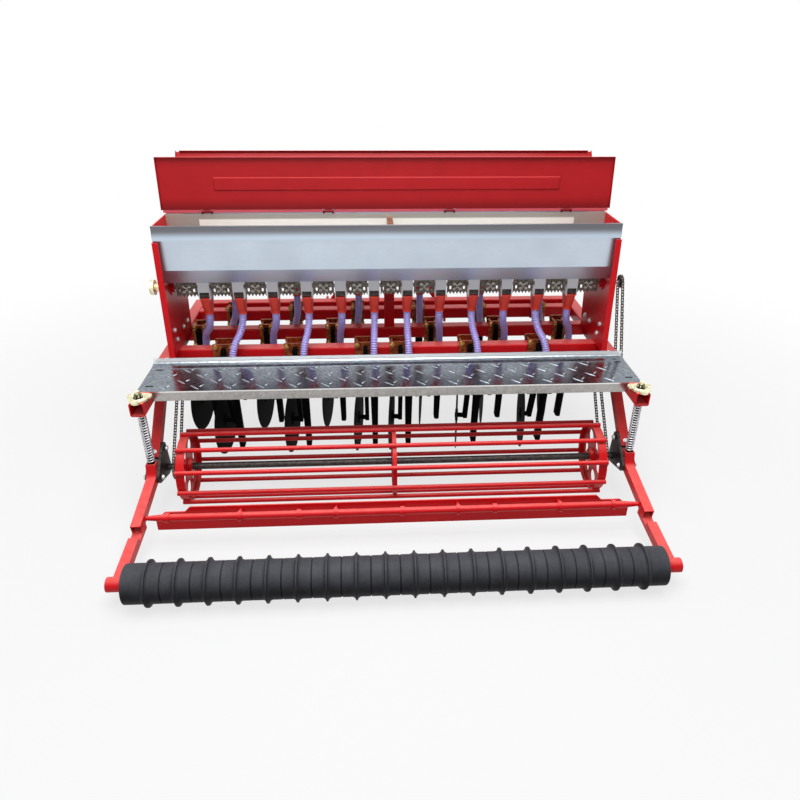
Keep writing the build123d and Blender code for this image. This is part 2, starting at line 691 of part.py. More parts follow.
# (plane x, lower centre, lower radius, upper centre, upper radius)
cage_centre = (CAGE_Y, CAGE_Z)
cross_centre = (CROSS_Y, CROSS_Z)
seed_centre = (seed_shaft_y, meter_shaft_z)
fert_centre = (fert_shaft_y, meter_shaft_z)
chain_table = [
    (-CHAIN_X, cage_centre, SPROCKET_R, cross_centre, SMALL_SPROCKET_R),
    (CHAIN_X, cage_centre, SPROCKET_R, cross_centre, SMALL_SPROCKET_R),
    (OUTER_CHAIN_X, cross_centre, SMALL_SPROCKET_R, seed_centre, METER_SPROCKET_R),
    (CROSS_CHAIN_X, seed_centre, METER_SPROCKET_R, fert_centre, METER_SPROCKET_R),
]
CHAIN_GAP = 0.8
CHAIN_THICK = 10
CHAIN_WIDE = 14


def chain_outline(low, low_r, high, high_r, grow):
    """Sketch inside the two sprockets' common hull, grown by a given amount."""
    with BuildSketch(Plane.YZ, mode=Mode.PRIVATE) as outline:
        with Locations(low):
            Circle(low_r + grow)
        with Locations(high):
            Circle(high_r + grow)
        make_hull()
    return outline.sketch


with BuildPart() as drive_chains:
    for x, low, low_r, high, high_r in chain_table:
        outer = chain_outline(low, low_r, high, high_r, CHAIN_GAP + CHAIN_THICK)
        inner = chain_outline(low, low_r, high, high_r, CHAIN_GAP)
        extrude(Pos(x - CHAIN_WIDE / 2, 0, 0) * (outer - inner), amount=CHAIN_WIDE, dir=(1, 0, 0))
save(drive_chains, "drive_chains")

with BuildPart() as cross_shaft:
    with BuildSketch(Plane.YZ.offset(-HANGER_X - 12)):
        with Locations(cross_centre):
            Circle(CROSS_R)
    extrude(amount=HANGER_X + 12 + OUTER_CHAIN_X + 10)
    for x in (-CHAIN_X, CHAIN_X, OUTER_CHAIN_X):
        sprocket(x, cross_centre, SMALL_SPROCKET_R, CROSS_R)
save(cross_shaft, "cross_shaft")

with BuildPart() as shaft_hangers:
    for side in (-1, 1):
        with BuildSketch(Plane.YZ.offset(side * HANGER_X - CROSS_LUG_THICK / 2)):
            with Locations(cross_centre):
                Circle(CROSS_LUG_R)
            with Locations((CROSS_Y, (CROSS_Z + beam_bottom_z) / 2)):
                Rectangle(2 * CROSS_LUG_R, beam_bottom_z - CROSS_Z)
            with Locations(cross_centre):
                Circle(CROSS_R + 0.1, mode=Mode.SUBTRACT)
        extrude(amount=CROSS_LUG_THICK)
        # flanged bearings of the meter shafts, on the inner faces of the end plates
        plate_in = BOX_HALF - PLATE
        for y in (seed_shaft_y, fert_shaft_y):
            for radius, thick in ((34, 5), (22, 16)):
                with BuildSketch(Plane.YZ.offset(-plate_in if side < 0 else plate_in - thick)):
                    with Locations((y, meter_shaft_z)):
                        Circle(radius)
                        Circle(METER_SHAFT_R + 0.3, mode=Mode.SUBTRACT)
                extrude(amount=thick)
save(shaft_hangers, "shaft_hangers")

with BuildPart() as meter_sprockets:
    for x, y in ((OUTER_CHAIN_X, seed_shaft_y), (CROSS_CHAIN_X, seed_shaft_y), (CROSS_CHAIN_X, fert_shaft_y)):
        sprocket(x, (y, meter_shaft_z), METER_SPROCKET_R, METER_SHAFT_R)
save(meter_sprockets, "meter_sprockets")

with BuildPart() as rate_knob:
    # (inner end, thickness, radius)
    for start, wide, radius in ((KNOB_X - 6, 18, 34), (BOX_HALF + 14, KNOB_X - BOX_HALF - 20, 18)):
        with BuildSketch(Plane.YZ.offset(-start)):
            with Locations((seed_shaft_y, meter_shaft_z)):
                Circle(radius)
                Circle(METER_SHAFT_R, mode=Mode.SUBTRACT)
        extrude(amount=-wide)
save(rate_knob, "rate_knob")


# ---------------------------------------------------------------- arms
ARM_HEAD_Y = 66
ARM_FOOT_Y = -262
ARM_FOOT_Z = 247
arm_sections = ((ARM, Mode.ADD), (ARM - 2 * ARM_WALL, Mode.SUBTRACT))


def arms(name, side):
    """Square-tube arm down from the side beam to the bearing bracket, open at its foot."""
    rise = (beam_bottom_z + ARM - ARM_FOOT_Z) / (ARM_HEAD_Y - ARM_FOOT_Y)
    with BuildPart() as piece:
        for wide, mode in arm_sections:
            past = 0 if mode == Mode.ADD else ARM
            with BuildSketch(Plane.YZ.offset(side * ARM_X - wide / 2)) as section:
                with BuildLine():
                    Line((ARM_HEAD_Y, beam_bottom_z + ARM), (ARM_FOOT_Y - past, ARM_FOOT_Z - past * rise))
                trace(line_width=wide)
            extrude(section.sketch, amount=wide, mode=mode)
        with BuildSketch(Plane.YZ.offset(side * ARM_X - ARM / 2)) as above:
            with Locations((ARM_HEAD_Y, beam_bottom_z + 2 * ARM)):
                Rectangle(8 * ARM, 4 * ARM)
        extrude(above.sketch, amount=ARM, mode=Mode.SUBTRACT)
    save(piece, name)


arms("left_cage_arm", -1)
arms("right_cage_arm", 1)

BRACKET_IN = 12
BRACKET_OUT = 6
# (centre, radius) of the rounds that the bracket is drawn round
bracket_table = [((-225, 275), 26), ((PIVOT_Y, PIVOT_Z), 26), ((CAGE_Y, CAGE_Z), 32)]


def bracket(name, side):
    """Bearing bracket: a plate on each side of the arms, the inner one with the cage shaft's flanged bearing."""
    outer_face = ARM_X + ARM / 2
    inner = ARM_X - ARM / 2 - BRACKET_IN
    # (start, thickness, True where the shaft goes through)
    plates = [(inner, BRACKET_IN, True), (outer_face, BRACKET_OUT, False)]
    with BuildPart() as piece:
        for start, thick, bored in plates:
            with BuildSketch(Plane.YZ.offset(start if side > 0 else -start - thick)) as plate:
                for centre, radius in bracket_table:
                    with Locations(centre):
                        Circle(radius)
                make_hull()
                if bored:
                    with Locations((CAGE_Y, CAGE_Z)):
                        Circle(SHAFT_R + FIT, mode=Mode.SUBTRACT)
            extrude(plate.sketch, amount=thick)
        # bolts through both plates, seen as their heads
        for start, thick in ((inner - 7, 7), (outer_face + BRACKET_OUT, 7)):
            with BuildSketch(Plane.YZ.offset(start if side > 0 else -start - thick)) as heads:
                with Locations(bracket_table[0][0], bracket_table[1][0]):
                    RegularPolygon(10, 6)
            extrude(heads.sketch, amount=thick)
    save(piece, name)


bracket("left_bearing_bracket", -1)
bracket("right_bearing_bracket", 1)

TUBE_PAST_CLAMP = 35
LOWER_ARM_DROP = 22
ROD_PIN_R = 6
ROD_PIN_Z = SPRING_FOOT_Z - 24
rear_limit = TUBE_PAST_CLAMP + ARM


def press_arm(name, side):
    """Bell crank of square tube, open at both ends, with the roller's arm welded under its rear end."""
    back = math.hypot(CLAMP_Y - PIVOT_Y, CLAMP_Z - PIVOT_Z)
    back_y = (CLAMP_Y - PIVOT_Y) / back
    back_z = (CLAMP_Z - PIVOT_Z) / back
    with BuildPart() as piece:
        for wide, mode in arm_sections:
            past = 0 if mode == Mode.ADD else ARM
            rear = TUBE_PAST_CLAMP + past
            with BuildSketch(Plane.YZ.offset(side * ARM_X - wide / 2)) as crank:
                with BuildLine():
                    FilletPolyline((SPRING_FOOT_Y + past / 4, SPRING_FOOT_Z + past), (PIVOT_Y - 4, PIVOT_Z),
                                   (CLAMP_Y + rear * back_y, CLAMP_Z + rear * back_z), radius=45)
                trace(line_width=wide)
            extrude(crank.sketch, amount=wide, mode=mode)
        with BuildSketch(Plane.YZ.offset(side * ARM_X - ARM / 2)) as lower:
            with BuildLine():
                Line((CLAMP_Y + 20, CLAMP_Z - LOWER_ARM_DROP), (ROLLER_Y, ROLLER_Z))
            trace(line_width=ARM)
            with BuildLine():
                Line((CLAMP_Y + 90, CLAMP_Z + 90 * back_z / back_y),
                     (CLAMP_Y + rear_limit * back_y, CLAMP_Z + rear_limit * back_z))
            trace(line_width=ARM - 1, mode=Mode.SUBTRACT)
        extrude(lower.sketch, amount=ARM)
        with BuildSketch(Plane.YZ.offset(side * ARM_X - ARM / 2)) as above:
            with Locations((SPRING_FOOT_Y, SPRING_FOOT_Z + ARM / 2)):
                Rectangle(3 * ARM, ARM)
        extrude(above.sketch, amount=ARM, mode=Mode.SUBTRACT)
        with BuildSketch(Plane.YZ.offset(side * ARM_X - ARM / 2)) as pin_hole:
            with Locations((SPRING_FOOT_Y, ROD_PIN_Z)):
                Circle(ROD_PIN_R + FIT)
        extrude(pin_hole.sketch, amount=ARM, mode=Mode.SUBTRACT)
        start = ARM_X - ARM / 2
        with BuildSketch(Plane.YZ.offset(start if side > 0 else -start - HOUSING_LENGTH)) as housing:
            with Locations((ROLLER_Y, ROLLER_Z)):
                Circle(HOUSING_R)
        extrude(housing.sketch, amount=HOUSING_LENGTH)
        with BuildSketch(Plane.YZ.offset(start - 1 if side > 0 else -start - HOUSING_LENGTH + 6)) as bore:
            with Locations((ROLLER_Y, ROLLER_Z)):
                Circle(SHAFT_R + FIT)
        extrude(bore.sketch, amount=HOUSING_LENGTH - 5, mode=Mode.SUBTRACT)
    save(piece, name)


press_arm("left_press_arm", -1)
press_arm("right_press_arm", 1)

# ---------------------------------------------------------------- spring, rod and cap
ROD_R = 7
SPRING_R = 18
CAP_THICK = 8
CAP_NUT = 14
with BuildPart() as spring_rods:
    for side in (-1, 1):
        with BuildSketch(Plane.XY.offset(ROD_PIN_Z)) as rod:
            with Locations((side * ARM_X, SPRING_FOOT_Y)):
                Circle(ROD_R)
        extrude(rod.sketch, amount=beam_bottom_z - ROD_PIN_Z)
        with BuildSketch(Plane.YZ.offset(side * ARM_X - ARM / 2)) as pin:
            with Locations((SPRING_FOOT_Y, ROD_PIN_Z)):
                Circle(ROD_PIN_R)
        extrude(pin.sketch, amount=ARM)
save(spring_rods, "spring_rods")

with BuildPart() as press_springs:
    for side in (-1, 1):
        with BuildSketch(Plane.XY.offset(SPRING_FOOT_Z)) as coil:
            with Locations((side * ARM_X, SPRING_FOOT_Y)):
                Circle(SPRING_R)
                Circle(ROD_R + 3, mode=Mode.SUBTRACT)
        extrude(coil.sketch, amount=beam_bottom_z - SPRING_FOOT_Z)
save(press_springs, "press_springs")

with BuildPart() as spring_caps:
    for side in (-1, 1):
        cap_place = (side * SIDE_X, SPRING_FOOT_Y)
        with BuildSketch(Plane.XY.offset(FRAME_TOP_Z)) as cap:
            with Locations(cap_place):
                Circle(40)
                with PolarLocations(35, 3, start_angle=30):
                    Circle(19)
        extrude(cap.sketch, amount=CAP_THICK)
        with BuildSketch(Plane.XY.offset(FRAME_TOP_Z + CAP_THICK)) as nut:
            with Locations(cap_place):
                RegularPolygon(15, 6)
        extrude(nut.sketch, amount=CAP_NUT)
        with BuildSketch(Plane.XY.offset(FRAME_TOP_Z + CAP_THICK + CAP_NUT)) as thread:
            with Locations(cap_place):
                Circle(9)
        extrude(thread.sketch, amount=CAP_NUT)
save(spring_caps, "spring_caps")

# ---------------------------------------------------------------- step board
board_top_z = FRAME_TOP_Z + BOARD_SHEET
with BuildPart() as step_board:
    # (half width, outline in Y and Z)
    board_sections = [
        (SIDE_X + TUBE / 2 - 4,
         [(BOARD_REAR_Y, FRAME_TOP_Z), (BOARD_FRONT_Y - BOARD_FOLD, FRAME_TOP_Z),
          (BOARD_FRONT_Y, FRAME_TOP_Z + BOARD_RISE), (BOARD_FRONT_Y, board_top_z + BOARD_RISE),
          (BOARD_FRONT_Y - BOARD_FOLD, board_top_z), (BOARD_REAR_Y, board_top_z)]),
        (bar_half - 1,
         [(BOARD_REAR_Y, board_top_z - BOARD_LIP), (BOARD_REAR_Y + BOARD_SHEET, board_top_z - BOARD_LIP),
          (BOARD_REAR_Y + BOARD_SHEET, board_top_z), (BOARD_REAR_Y, board_top_z)]),
        (BOX_HALF - PLATE - 2,
         [(BOARD_FRONT_Y - BOARD_SHEET, FRAME_TOP_Z + BOARD_RISE - 1),
          (BOARD_FRONT_Y, FRAME_TOP_Z + BOARD_RISE), (BOARD_FRONT_Y, FRAME_TOP_Z + BOARD_UPSTAND),
          (BOARD_FRONT_Y - BOARD_SHEET, FRAME_TOP_Z + BOARD_UPSTAND)]),
    ]
    for half, outline in board_sections:
        with BuildSketch(Plane.YZ.offset(-half)) as section:
            Polygon(*outline, align=None)
        extrude(section.sketch, amount=2 * half)
save(step_board, "step_board")

# ---------------------------------------------------------------- levelling board
PIPE_R = 15
PIPE_Y = -538
PIPE_Z = 140
CONE_LENGTH = 70
BLADE_Y = -500
BLADE_THICK = 6
BLADE_BOTTOM_Z = 52
# (distance from the middle, height of the blade's top edge)
blade_shoulders = [(845, 166), (868, 142), (948, 142), (990, 106)]
LEVER_X = (-638, -250, 254, 680)
COLLAR_X = (-930, -638, -400, -250, 23, 254, 406, 680, 908)
pipe_half = ARM_X - ARM / 2
with BuildPart() as levelling_board:
    with BuildSketch(Plane.YZ.offset(-pipe_half + CONE_LENGTH)) as pipe:
        with Locations((PIPE_Y, PIPE_Z)):
            Circle(PIPE_R)
    extrude(pipe.sketch, amount=2 * (pipe_half - CONE_LENGTH))
    for side in (-1, 1):
        ends = []
        for x, radius in ((pipe_half - CONE_LENGTH, PIPE_R), (pipe_half, PIPE_R - 6)):
            with BuildSketch(Plane.YZ.offset(side * x)) as end:
                with Locations((PIPE_Y, PIPE_Z)):
                    Circle(radius)
            ends.append(end.sketch)
        loft(ends)
    for x in COLLAR_X:
        with BuildSketch(Plane.YZ.offset(x - 9)) as collar:
            with Locations((PIPE_Y, PIPE_Z)):
                Circle(PIPE_R + 5)
        extrude(collar.sketch, amount=18)
    with BuildSketch(Plane.XZ.offset(-BLADE_Y)) as blade:
        right_edge = [(x, z) for x, z in blade_shoulders]
        Polygon((-blade_shoulders[-1][0], BLADE_BOTTOM_Z), (blade_shoulders[-1][0], BLADE_BOTTOM_Z),
                *reversed(right_edge), *[(-x, z) for x, z in right_edge], align=None)
        fillet(blade.vertices().group_by(Axis.Y)[-1], radius=12)
    extrude(blade.sketch, amount=BLADE_THICK)
    for x in LEVER_X:
        with BuildSketch(Plane.YZ.offset(x - 4)) as lever:
            with Locations((PIPE_Y, PIPE_Z)):
                Circle(PIPE_R + 8)
            with Locations((BLADE_Y - BLADE_THICK - 6, PIPE_Z - 12)):
                Rectangle(12, 44)
            make_hull()
        extrude(lever.sketch, amount=8)
save(levelling_board, "levelling_board")

# ---------------------------------------------------------------- press roller
with BuildPart() as roller_core:
    with BuildSketch(Plane.YZ.offset(-ROLLER_HALF + 4)):
        with Locations((ROLLER_Y, ROLLER_Z)):
            Circle(ROLLER_BODY_R - RUBBER)
    extrude(amount=2 * ROLLER_HALF - 8)
    axle_half = ARM_X - ARM / 2 + HOUSING_LENGTH - 8
    with BuildSketch(Plane.YZ.offset(-axle_half)):
        with Locations((ROLLER_Y, ROLLER_Z)):
            Circle(SHAFT_R)
    extrude(amount=2 * axle_half)
save(roller_core, "roller_core")

with BuildPart() as roller_sleeve:
    body_y = ROLLER_Y + ROLLER_BODY_R
    crest_y = ROLLER_Y + ROLLER_RIB_R
    with BuildSketch(Plane.XY.offset(ROLLER_Z)) as profile:
        with BuildLine():
            corner = (-ROLLER_HALF, body_y)
            Line((-ROLLER_HALF, body_y - RUBBER), corner)
            for i in range(ROLLER_RIBS):
                x = row_x(i, ROLLER_RIBS, RIB_PITCH)
                Line(corner, (x - RIB_FOOT, body_y))
                ThreePointArc((x - RIB_FOOT, body_y), (x - RIB_FOOT / 2 + 1, body_y + 3), (x - RIB_CREST, crest_y))
                Line((x - RIB_CREST, crest_y), (x + RIB_CREST, crest_y))
                ThreePointArc((x + RIB_CREST, crest_y), (x + RIB_FOOT / 2 - 1, body_y + 3), (x + RIB_FOOT, body_y))
                corner = (x + RIB_FOOT, body_y)
                if i < ROLLER_RIBS - 1:
                    seam = x + RIB_PITCH / 2
                    Polyline(corner, (seam - SEAM_WIDE / 2, body_y), (seam, body_y - SEAM_DEEP),
                             (seam + SEAM_WIDE / 2, body_y))
                    corner = (seam + SEAM_WIDE / 2, body_y)
            Polyline(corner, (ROLLER_HALF, body_y), (ROLLER_HALF, body_y - RUBBER), (-ROLLER_HALF, body_y - RUBBER))
        make_face()
    revolve(axis=Axis((0, ROLLER_Y, ROLLER_Z), (1, 0, 0)))
save(roller_sleeve, "roller_sleeve")

# ---------------------------------------------------------------- hitch
beam_front_y = HITCH_BAR_Y + TUBE / 2
ear_x = TOP_LINK_GAP / 2 + EAR / 2
with BuildPart() as headstock:
    for side in (-1, 1):
        with BuildSketch(Plane.XZ.offset(-beam_front_y)) as bar:
            with BuildLine():
                Line((side * (LOWER_SPREAD / 2 - EAR), beam_bottom_z), (side * ear_x, TOP_LINK_Z + 20))
            trace(line_width=MAST_BAR)
        extrude(bar.sketch, amount=-EAR)
        with BuildSketch(Plane.YZ.offset(side * ear_x - EAR / 2)) as ear_plate:
            with Locations((TOP_LINK_Y, TOP_LINK_Z)):
                Circle(EAR_R)
            with Locations((beam_front_y + EAR_R * 2 / 3, TOP_LINK_Z)):
                Rectangle(EAR_R * 4 / 3, 2 * EAR_R)
            make_hull()
        extrude(ear_plate.sketch, amount=EAR)
    with BuildSketch(Plane.XZ.offset(-beam_front_y)) as tie:
        with Locations((0, (FRAME_TOP_Z + TOP_LINK_Z) / 2 + EAR_R)):
            Rectangle(TOP_LINK_GAP + 3 * MAST_BAR, MAST_BAR)
    extrude(tie.sketch, amount=-EAR / 2)
    with BuildSketch(Plane.YZ.offset(-LOWER_SPREAD / 2)) as pin_hole:
        with Locations((TOP_LINK_Y, TOP_LINK_Z)):
            Circle(TOP_LINK_R)
    extrude(pin_hole.sketch, amount=LOWER_SPREAD, mode=Mode.SUBTRACT)
save(headstock, "headstock")

with BuildPart() as lower_links:
    for side in (-1, 1):
        start = LOWER_SPREAD / 2 - EAR if side > 0 else -LOWER_SPREAD / 2
        with BuildSketch(Plane.YZ.offset(start)) as plate:
            with Locations((LOWER_PIN_Y, LOWER_PIN_Z)):
                Circle(EAR_R + 2)
            with Locations((beam_front_y + 2 * EAR, frame_z)):
                Rectangle(2 * EAR, TUBE)
            make_hull()
        extrude(plate.sketch, amount=EAR)
        pin_start = LOWER_SPREAD / 2 if side > 0 else -LOWER_SPREAD / 2 - LOWER_PIN_LENGTH
        with BuildSketch(Plane.YZ.offset(pin_start)) as pin:
            with Locations((LOWER_PIN_Y, LOWER_PIN_Z)):
                Circle(LOWER_PIN_R)
        extrude(pin.sketch, amount=LOWER_PIN_LENGTH)
save(lower_links, "lower_links")
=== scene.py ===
"""Twelve-row seed and fertiliser drill: the finishes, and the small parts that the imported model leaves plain.

Metres, +X the machine's right, +Y the direction of travel, +Z up, ground at Z = 0, as in the frame.
"""
import json
import math

import bpy
from mathutils import Matrix, Vector


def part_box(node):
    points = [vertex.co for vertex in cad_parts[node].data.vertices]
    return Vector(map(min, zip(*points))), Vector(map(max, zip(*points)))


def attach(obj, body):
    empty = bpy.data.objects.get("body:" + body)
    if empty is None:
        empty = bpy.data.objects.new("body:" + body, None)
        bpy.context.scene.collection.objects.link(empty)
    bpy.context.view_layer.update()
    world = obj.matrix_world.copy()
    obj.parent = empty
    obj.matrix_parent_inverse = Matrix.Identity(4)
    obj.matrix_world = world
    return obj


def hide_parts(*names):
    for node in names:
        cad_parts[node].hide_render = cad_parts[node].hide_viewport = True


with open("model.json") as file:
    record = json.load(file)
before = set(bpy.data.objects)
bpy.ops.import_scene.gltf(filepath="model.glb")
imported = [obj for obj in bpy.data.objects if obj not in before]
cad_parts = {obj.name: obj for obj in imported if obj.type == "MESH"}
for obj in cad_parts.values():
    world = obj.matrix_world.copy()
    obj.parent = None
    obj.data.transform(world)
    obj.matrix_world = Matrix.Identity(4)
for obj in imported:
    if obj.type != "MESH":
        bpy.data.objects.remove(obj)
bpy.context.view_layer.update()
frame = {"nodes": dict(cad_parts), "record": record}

MM = 0.001
TURN = 2 * math.pi
# rows of outlets and of fertiliser outlets; in mm, pitch of outlets, pitch of openers and width of an outlet
ROWS, FERT_ROWS = 12, 6
METER_PITCH, ROW_PITCH, OUTLET_WIDE = 150, 165, 51


# ------------------------------------------------------------------ camera, light and floor
CAMERA_PLACE = (-0.085, -2.699, 1.862)
CAMERA_YAW, CAMERA_PITCH, CAMERA_ROLL = math.radians(-3.49), math.radians(28.3), math.radians(0.51)
LENS, SENSOR = 29.68, 36
SHIFT_X, SHIFT_Y = -0.0116, -0.010


def set_camera():
    bpy.ops.object.camera_add()
    camera = bpy.context.object
    camera.data.lens, camera.data.sensor_width = LENS, SENSOR
    camera.data.shift_x, camera.data.shift_y = SHIFT_X, SHIFT_Y
    camera.data.clip_end = 60
    camera.matrix_world = (Matrix.Translation(CAMERA_PLACE) @ Matrix.Rotation(CAMERA_YAW, 4, "Z")
                           @ Matrix.Rotation(math.pi / 2 - CAMERA_PITCH, 4, "X")
                           @ Matrix.Rotation(CAMERA_ROLL, 4, "Z"))
    bpy.context.scene.camera = camera


def linear(colour):
    """Scene-linear colour of an sRGB hex value such as "#c41e24"."""
    parts = [int(colour[i:i + 2], 16) / 255 for i in (1, 3, 5)]
    return tuple(c / 12.92 if c <= 0.04045 else ((c + 0.055) / 1.055) ** 2.4 for c in parts) + (1.0,)


def add(tree, kind, values=None, links=None, **settings):
    """Add a node with its settings, its sockets' values and what they are linked to."""
    made = tree.nodes.new(kind)
    for key, value in settings.items():
        setattr(made, key, value)
    for key, value in (values or {}).items():
        made.inputs[key].default_value = value
    for key, source in (links or {}).items():
        tree.links.new(source, made.inputs[key])
    return made


def seen_directly(tree):
    """1 for rays from the camera and those that mirror or pass through, 0 for light off matt surfaces."""
    path = add(tree, "ShaderNodeLightPath")
    glossy = add(tree, "ShaderNodeMath", operation="ADD", use_clamp=True,
                 links={0: path.outputs["Is Camera Ray"], 1: path.outputs["Is Glossy Ray"]})
    return add(tree, "ShaderNodeMath", links={0: glossy.outputs[0], 1: path.outputs["Is Transmission Ray"]},
               operation="ADD", use_clamp=True).outputs[0]


def set_world():
    world = bpy.data.worlds.new("overcast_studio")
    bpy.context.scene.world = world
    world.use_nodes = True
    tree = world.node_tree
    tree.nodes.clear()
    light = add(tree, "ShaderNodeBackground", {"Color": linear("#f2f6ff"), "Strength": 0.22})
    backdrop = add(tree, "ShaderNodeBackground", {"Color": (1, 1, 1, 1), "Strength": 1.0})
    both = add(tree, "ShaderNodeMixShader",
               links={0: seen_directly(tree), 1: light.outputs[0], 2: backdrop.outputs[0]})
    add(tree, "ShaderNodeOutputWorld", links={"Surface": both.outputs[0]})


def set_floor():
    """Pale floor that turns to the white of the backdrop away from the machine and keeps its shadow."""
    bpy.ops.mesh.primitive_plane_add(size=40, location=(0, 0, -0.0005))
    floor = bpy.context.object
    floor.name = "studio_floor"
    material = bpy.data.materials.new("matt_studio_floor")
    material.use_nodes = True
    tree = material.node_tree
    tree.nodes.clear()
    place = add(tree, "ShaderNodeTexCoord").outputs["Object"]
    distance = add(tree, "ShaderNodeVectorMath", links={0: place}, operation="LENGTH").outputs["Value"]
    fade = add(tree, "ShaderNodeMapRange", {"From Min": 1.2, "From Max": 4.0, "To Min": 0.74, "To Max": 1.0},
               links={"Value": distance}, interpolation_type="SMOOTHSTEP").outputs[0]
    white = add(tree, "ShaderNodeMath", links={0: fade, 1: seen_directly(tree)},
                operation="MULTIPLY").outputs[0]
    matt = add(tree, "ShaderNodeBsdfDiffuse", {"Color": linear("#bebebe")})
    glow = add(tree, "ShaderNodeEmission", {"Color": (1, 1, 1, 1), "Strength": 1.0})
    both = add(tree, "ShaderNodeMixShader", links={0: white, 1: matt.outputs[0], 2: glow.outputs[0]})
    add(tree, "ShaderNodeOutputMaterial", links={"Surface": both.outputs[0]})
    floor.data.materials.append(material)


# (name, place, size, watts): a broad lamp overhead, softer ones behind and ahead, and one on each side
LAMPS = [
    ("overhead", (0.0, -0.7, 4.2), 3.2, 250),
    ("rear", (-0.6, -4.6, 3.0), 3.0, 60),
    ("left", (-4.2, -0.5, 2.6), 2.4, 18),
    ("right", (4.2, 0.3, 2.6), 2.4, 18),
    ("front", (0.0, 3.6, 4.6), 2.4, 60),
]


def set_lamps():
    for name, place, size, watts in LAMPS:
        bpy.ops.object.light_add(type="AREA", location=place)
        lamp = bpy.context.object
        lamp.name = name + "_softbox"
        lamp.data.size, lamp.data.energy = size, watts
        lamp.rotation_mode = "QUATERNION"
        lamp.rotation_quaternion = (Vector((0, 0, 0.6)) - Vector(place)).to_track_quat("-Z", "Y")


# ------------------------------------------------------------------ materials
def surface(name):
    """New material with a Principled shader: (material, tree, shader, object coordinates)."""
    material = bpy.data.materials.new(name)
    material.use_nodes = True
    tree = material.node_tree
    tree.nodes.clear()
    shader = add(tree, "ShaderNodeBsdfPrincipled")
    add(tree, "ShaderNodeOutputMaterial", links={"Surface": shader.outputs["BSDF"]})
    return material, tree, shader, add(tree, "ShaderNodeTexCoord").outputs["Object"]


def fit_shader(tree, shader, values, colour, rough, bump=None):
    """Set the shader's sockets that are the same all over, and link those that vary over the surface."""
    for key, value in values.items():
        shader.inputs[key].default_value = value
    tree.links.new(colour.outputs[2], shader.inputs["Base Color"])
    tree.links.new(rough.outputs[0], shader.inputs["Roughness"])
    if bump:
        tree.links.new(bump.outputs[0], shader.inputs["Normal"])


def enamel(name, body, shade, rough, bloom):
    """Sprayed gloss enamel on steel: a smooth saturated coat with faint orange peel.

    Clouds of about 90 mm drift between two tones, as where the spray overlapped. Orange peel is about 1 mm
    on the real coat and is drawn at 5 mm, so that it shows. A fine dusting lies in patches of 25 mm and varies
    the gloss. Faces that look up carry a painted sheen, a painted reflection of the sky in pale pink, patchy
    in the same patches; bloom sets how strong it is.
    """
    material, tree, shader, place = surface(name)
    clouds = add(tree, "ShaderNodeTexNoise", {"Scale": 1 / (90 * MM), "Detail": 2.0}, {"Vector": place})
    coat = add(tree, "ShaderNodeMix", {6: linear(shade), 7: linear(body)}, {0: clouds.outputs["Fac"]},
               data_type="RGBA")
    patches = add(tree, "ShaderNodeTexNoise", {"Scale": 1 / (25 * MM), "Detail": 5.0, "Roughness": 0.65},
                  {"Vector": place})
    geometry = add(tree, "ShaderNodeNewGeometry")
    facing_up = add(tree, "ShaderNodeSeparateXYZ", links={0: geometry.outputs["Normal"]})
    # painted sheen: faces that look up are mixed towards pale pink #ff9c94, a painted reflection of the sky,
    # patchy in the 25 mm patches
    top_sheen = add(tree, "ShaderNodeMapRange", {"From Min": 0.6, "From Max": 1.0, "To Max": bloom},
               {"Value": facing_up.outputs["Z"]})
    sheen_patchiness = add(tree, "ShaderNodeMapRange", {"From Min": 0.3, "From Max": 0.7, "To Min": 0.7, "To Max": 1.2},
                {"Value": patches.outputs["Fac"]})
    patchy_sheen = add(tree, "ShaderNodeMath", links={0: top_sheen.outputs[0], 1: sheen_patchiness.outputs[0]},
                 operation="MULTIPLY")
    coat_with_sheen = add(tree, "ShaderNodeMix", {7: linear("#ff9c94")}, {0: patchy_sheen.outputs[0], 6: coat.outputs[2]},
                 data_type="RGBA")
    gloss = add(tree, "ShaderNodeMapRange", {"To Min": rough - 0.07, "To Max": rough + 0.12},
                {"Value": patches.outputs["Fac"]})
    peel = add(tree, "ShaderNodeTexNoise", {"Scale": 1 / (5 * MM), "Detail": 1.0}, {"Vector": place})
    bump = add(tree, "ShaderNodeBump", {"Strength": 0.12, "Distance": 0.4 * MM},
               {"Height": peel.outputs["Fac"]})
    fit_shader(tree, shader, {"Specular IOR Level": 0.14, "Coat Weight": 0.06, "Coat Roughness": 0.15},
               coat_with_sheen, gloss, bump)
    return material


# how many times longer than wide a streak of brushed sheet is
STREAK = 25


def sheet_metal(name, light, dark, rough, grain_mm):
    """Rolled or brushed sheet: long faint streaks along the rolling direction and slow clouds of tone.

    The streaks are a few hundredths of a millimetre on the real sheet, and are drawn grain_mm wide to show.
    """
    material, tree, shader, place = surface(name)
    drawn_out = add(tree, "ShaderNodeMapping", {"Scale": (1.0, STREAK, STREAK)}, {"Vector": place})
    streaks = add(tree, "ShaderNodeTexNoise", {"Scale": 1 / (grain_mm * STREAK * MM), "Detail": 4.0},
                  {"Vector": drawn_out.outputs[0]})
    clouds = add(tree, "ShaderNodeTexNoise", {"Scale": 1 / (160 * MM), "Detail": 2.0}, {"Vector": place})
    both = add(tree, "ShaderNodeMath", links={0: streaks.outputs["Fac"], 1: clouds.outputs["Fac"]},
               operation="MULTIPLY")
    tone = add(tree, "ShaderNodeMapRange", {"From Min": 0.12, "From Max": 0.40}, {"Value": both.outputs[0]})
    colour = add(tree, "ShaderNodeMix", {6: linear(dark), 7: linear(light)}, {0: tone.outputs[0]},
                 data_type="RGBA")
    gloss = add(tree, "ShaderNodeMapRange", {"To Min": rough - 0.05, "To Max": rough + 0.10},
                {"Value": streaks.outputs["Fac"]})
    bump = add(tree, "ShaderNodeBump", {"Strength": 0.06, "Distance": 0.2 * MM},
               {"Height": streaks.outputs["Fac"]})
    fit_shader(tree, shader, {"Metallic": 1.0}, colour, gloss, bump)
    return material


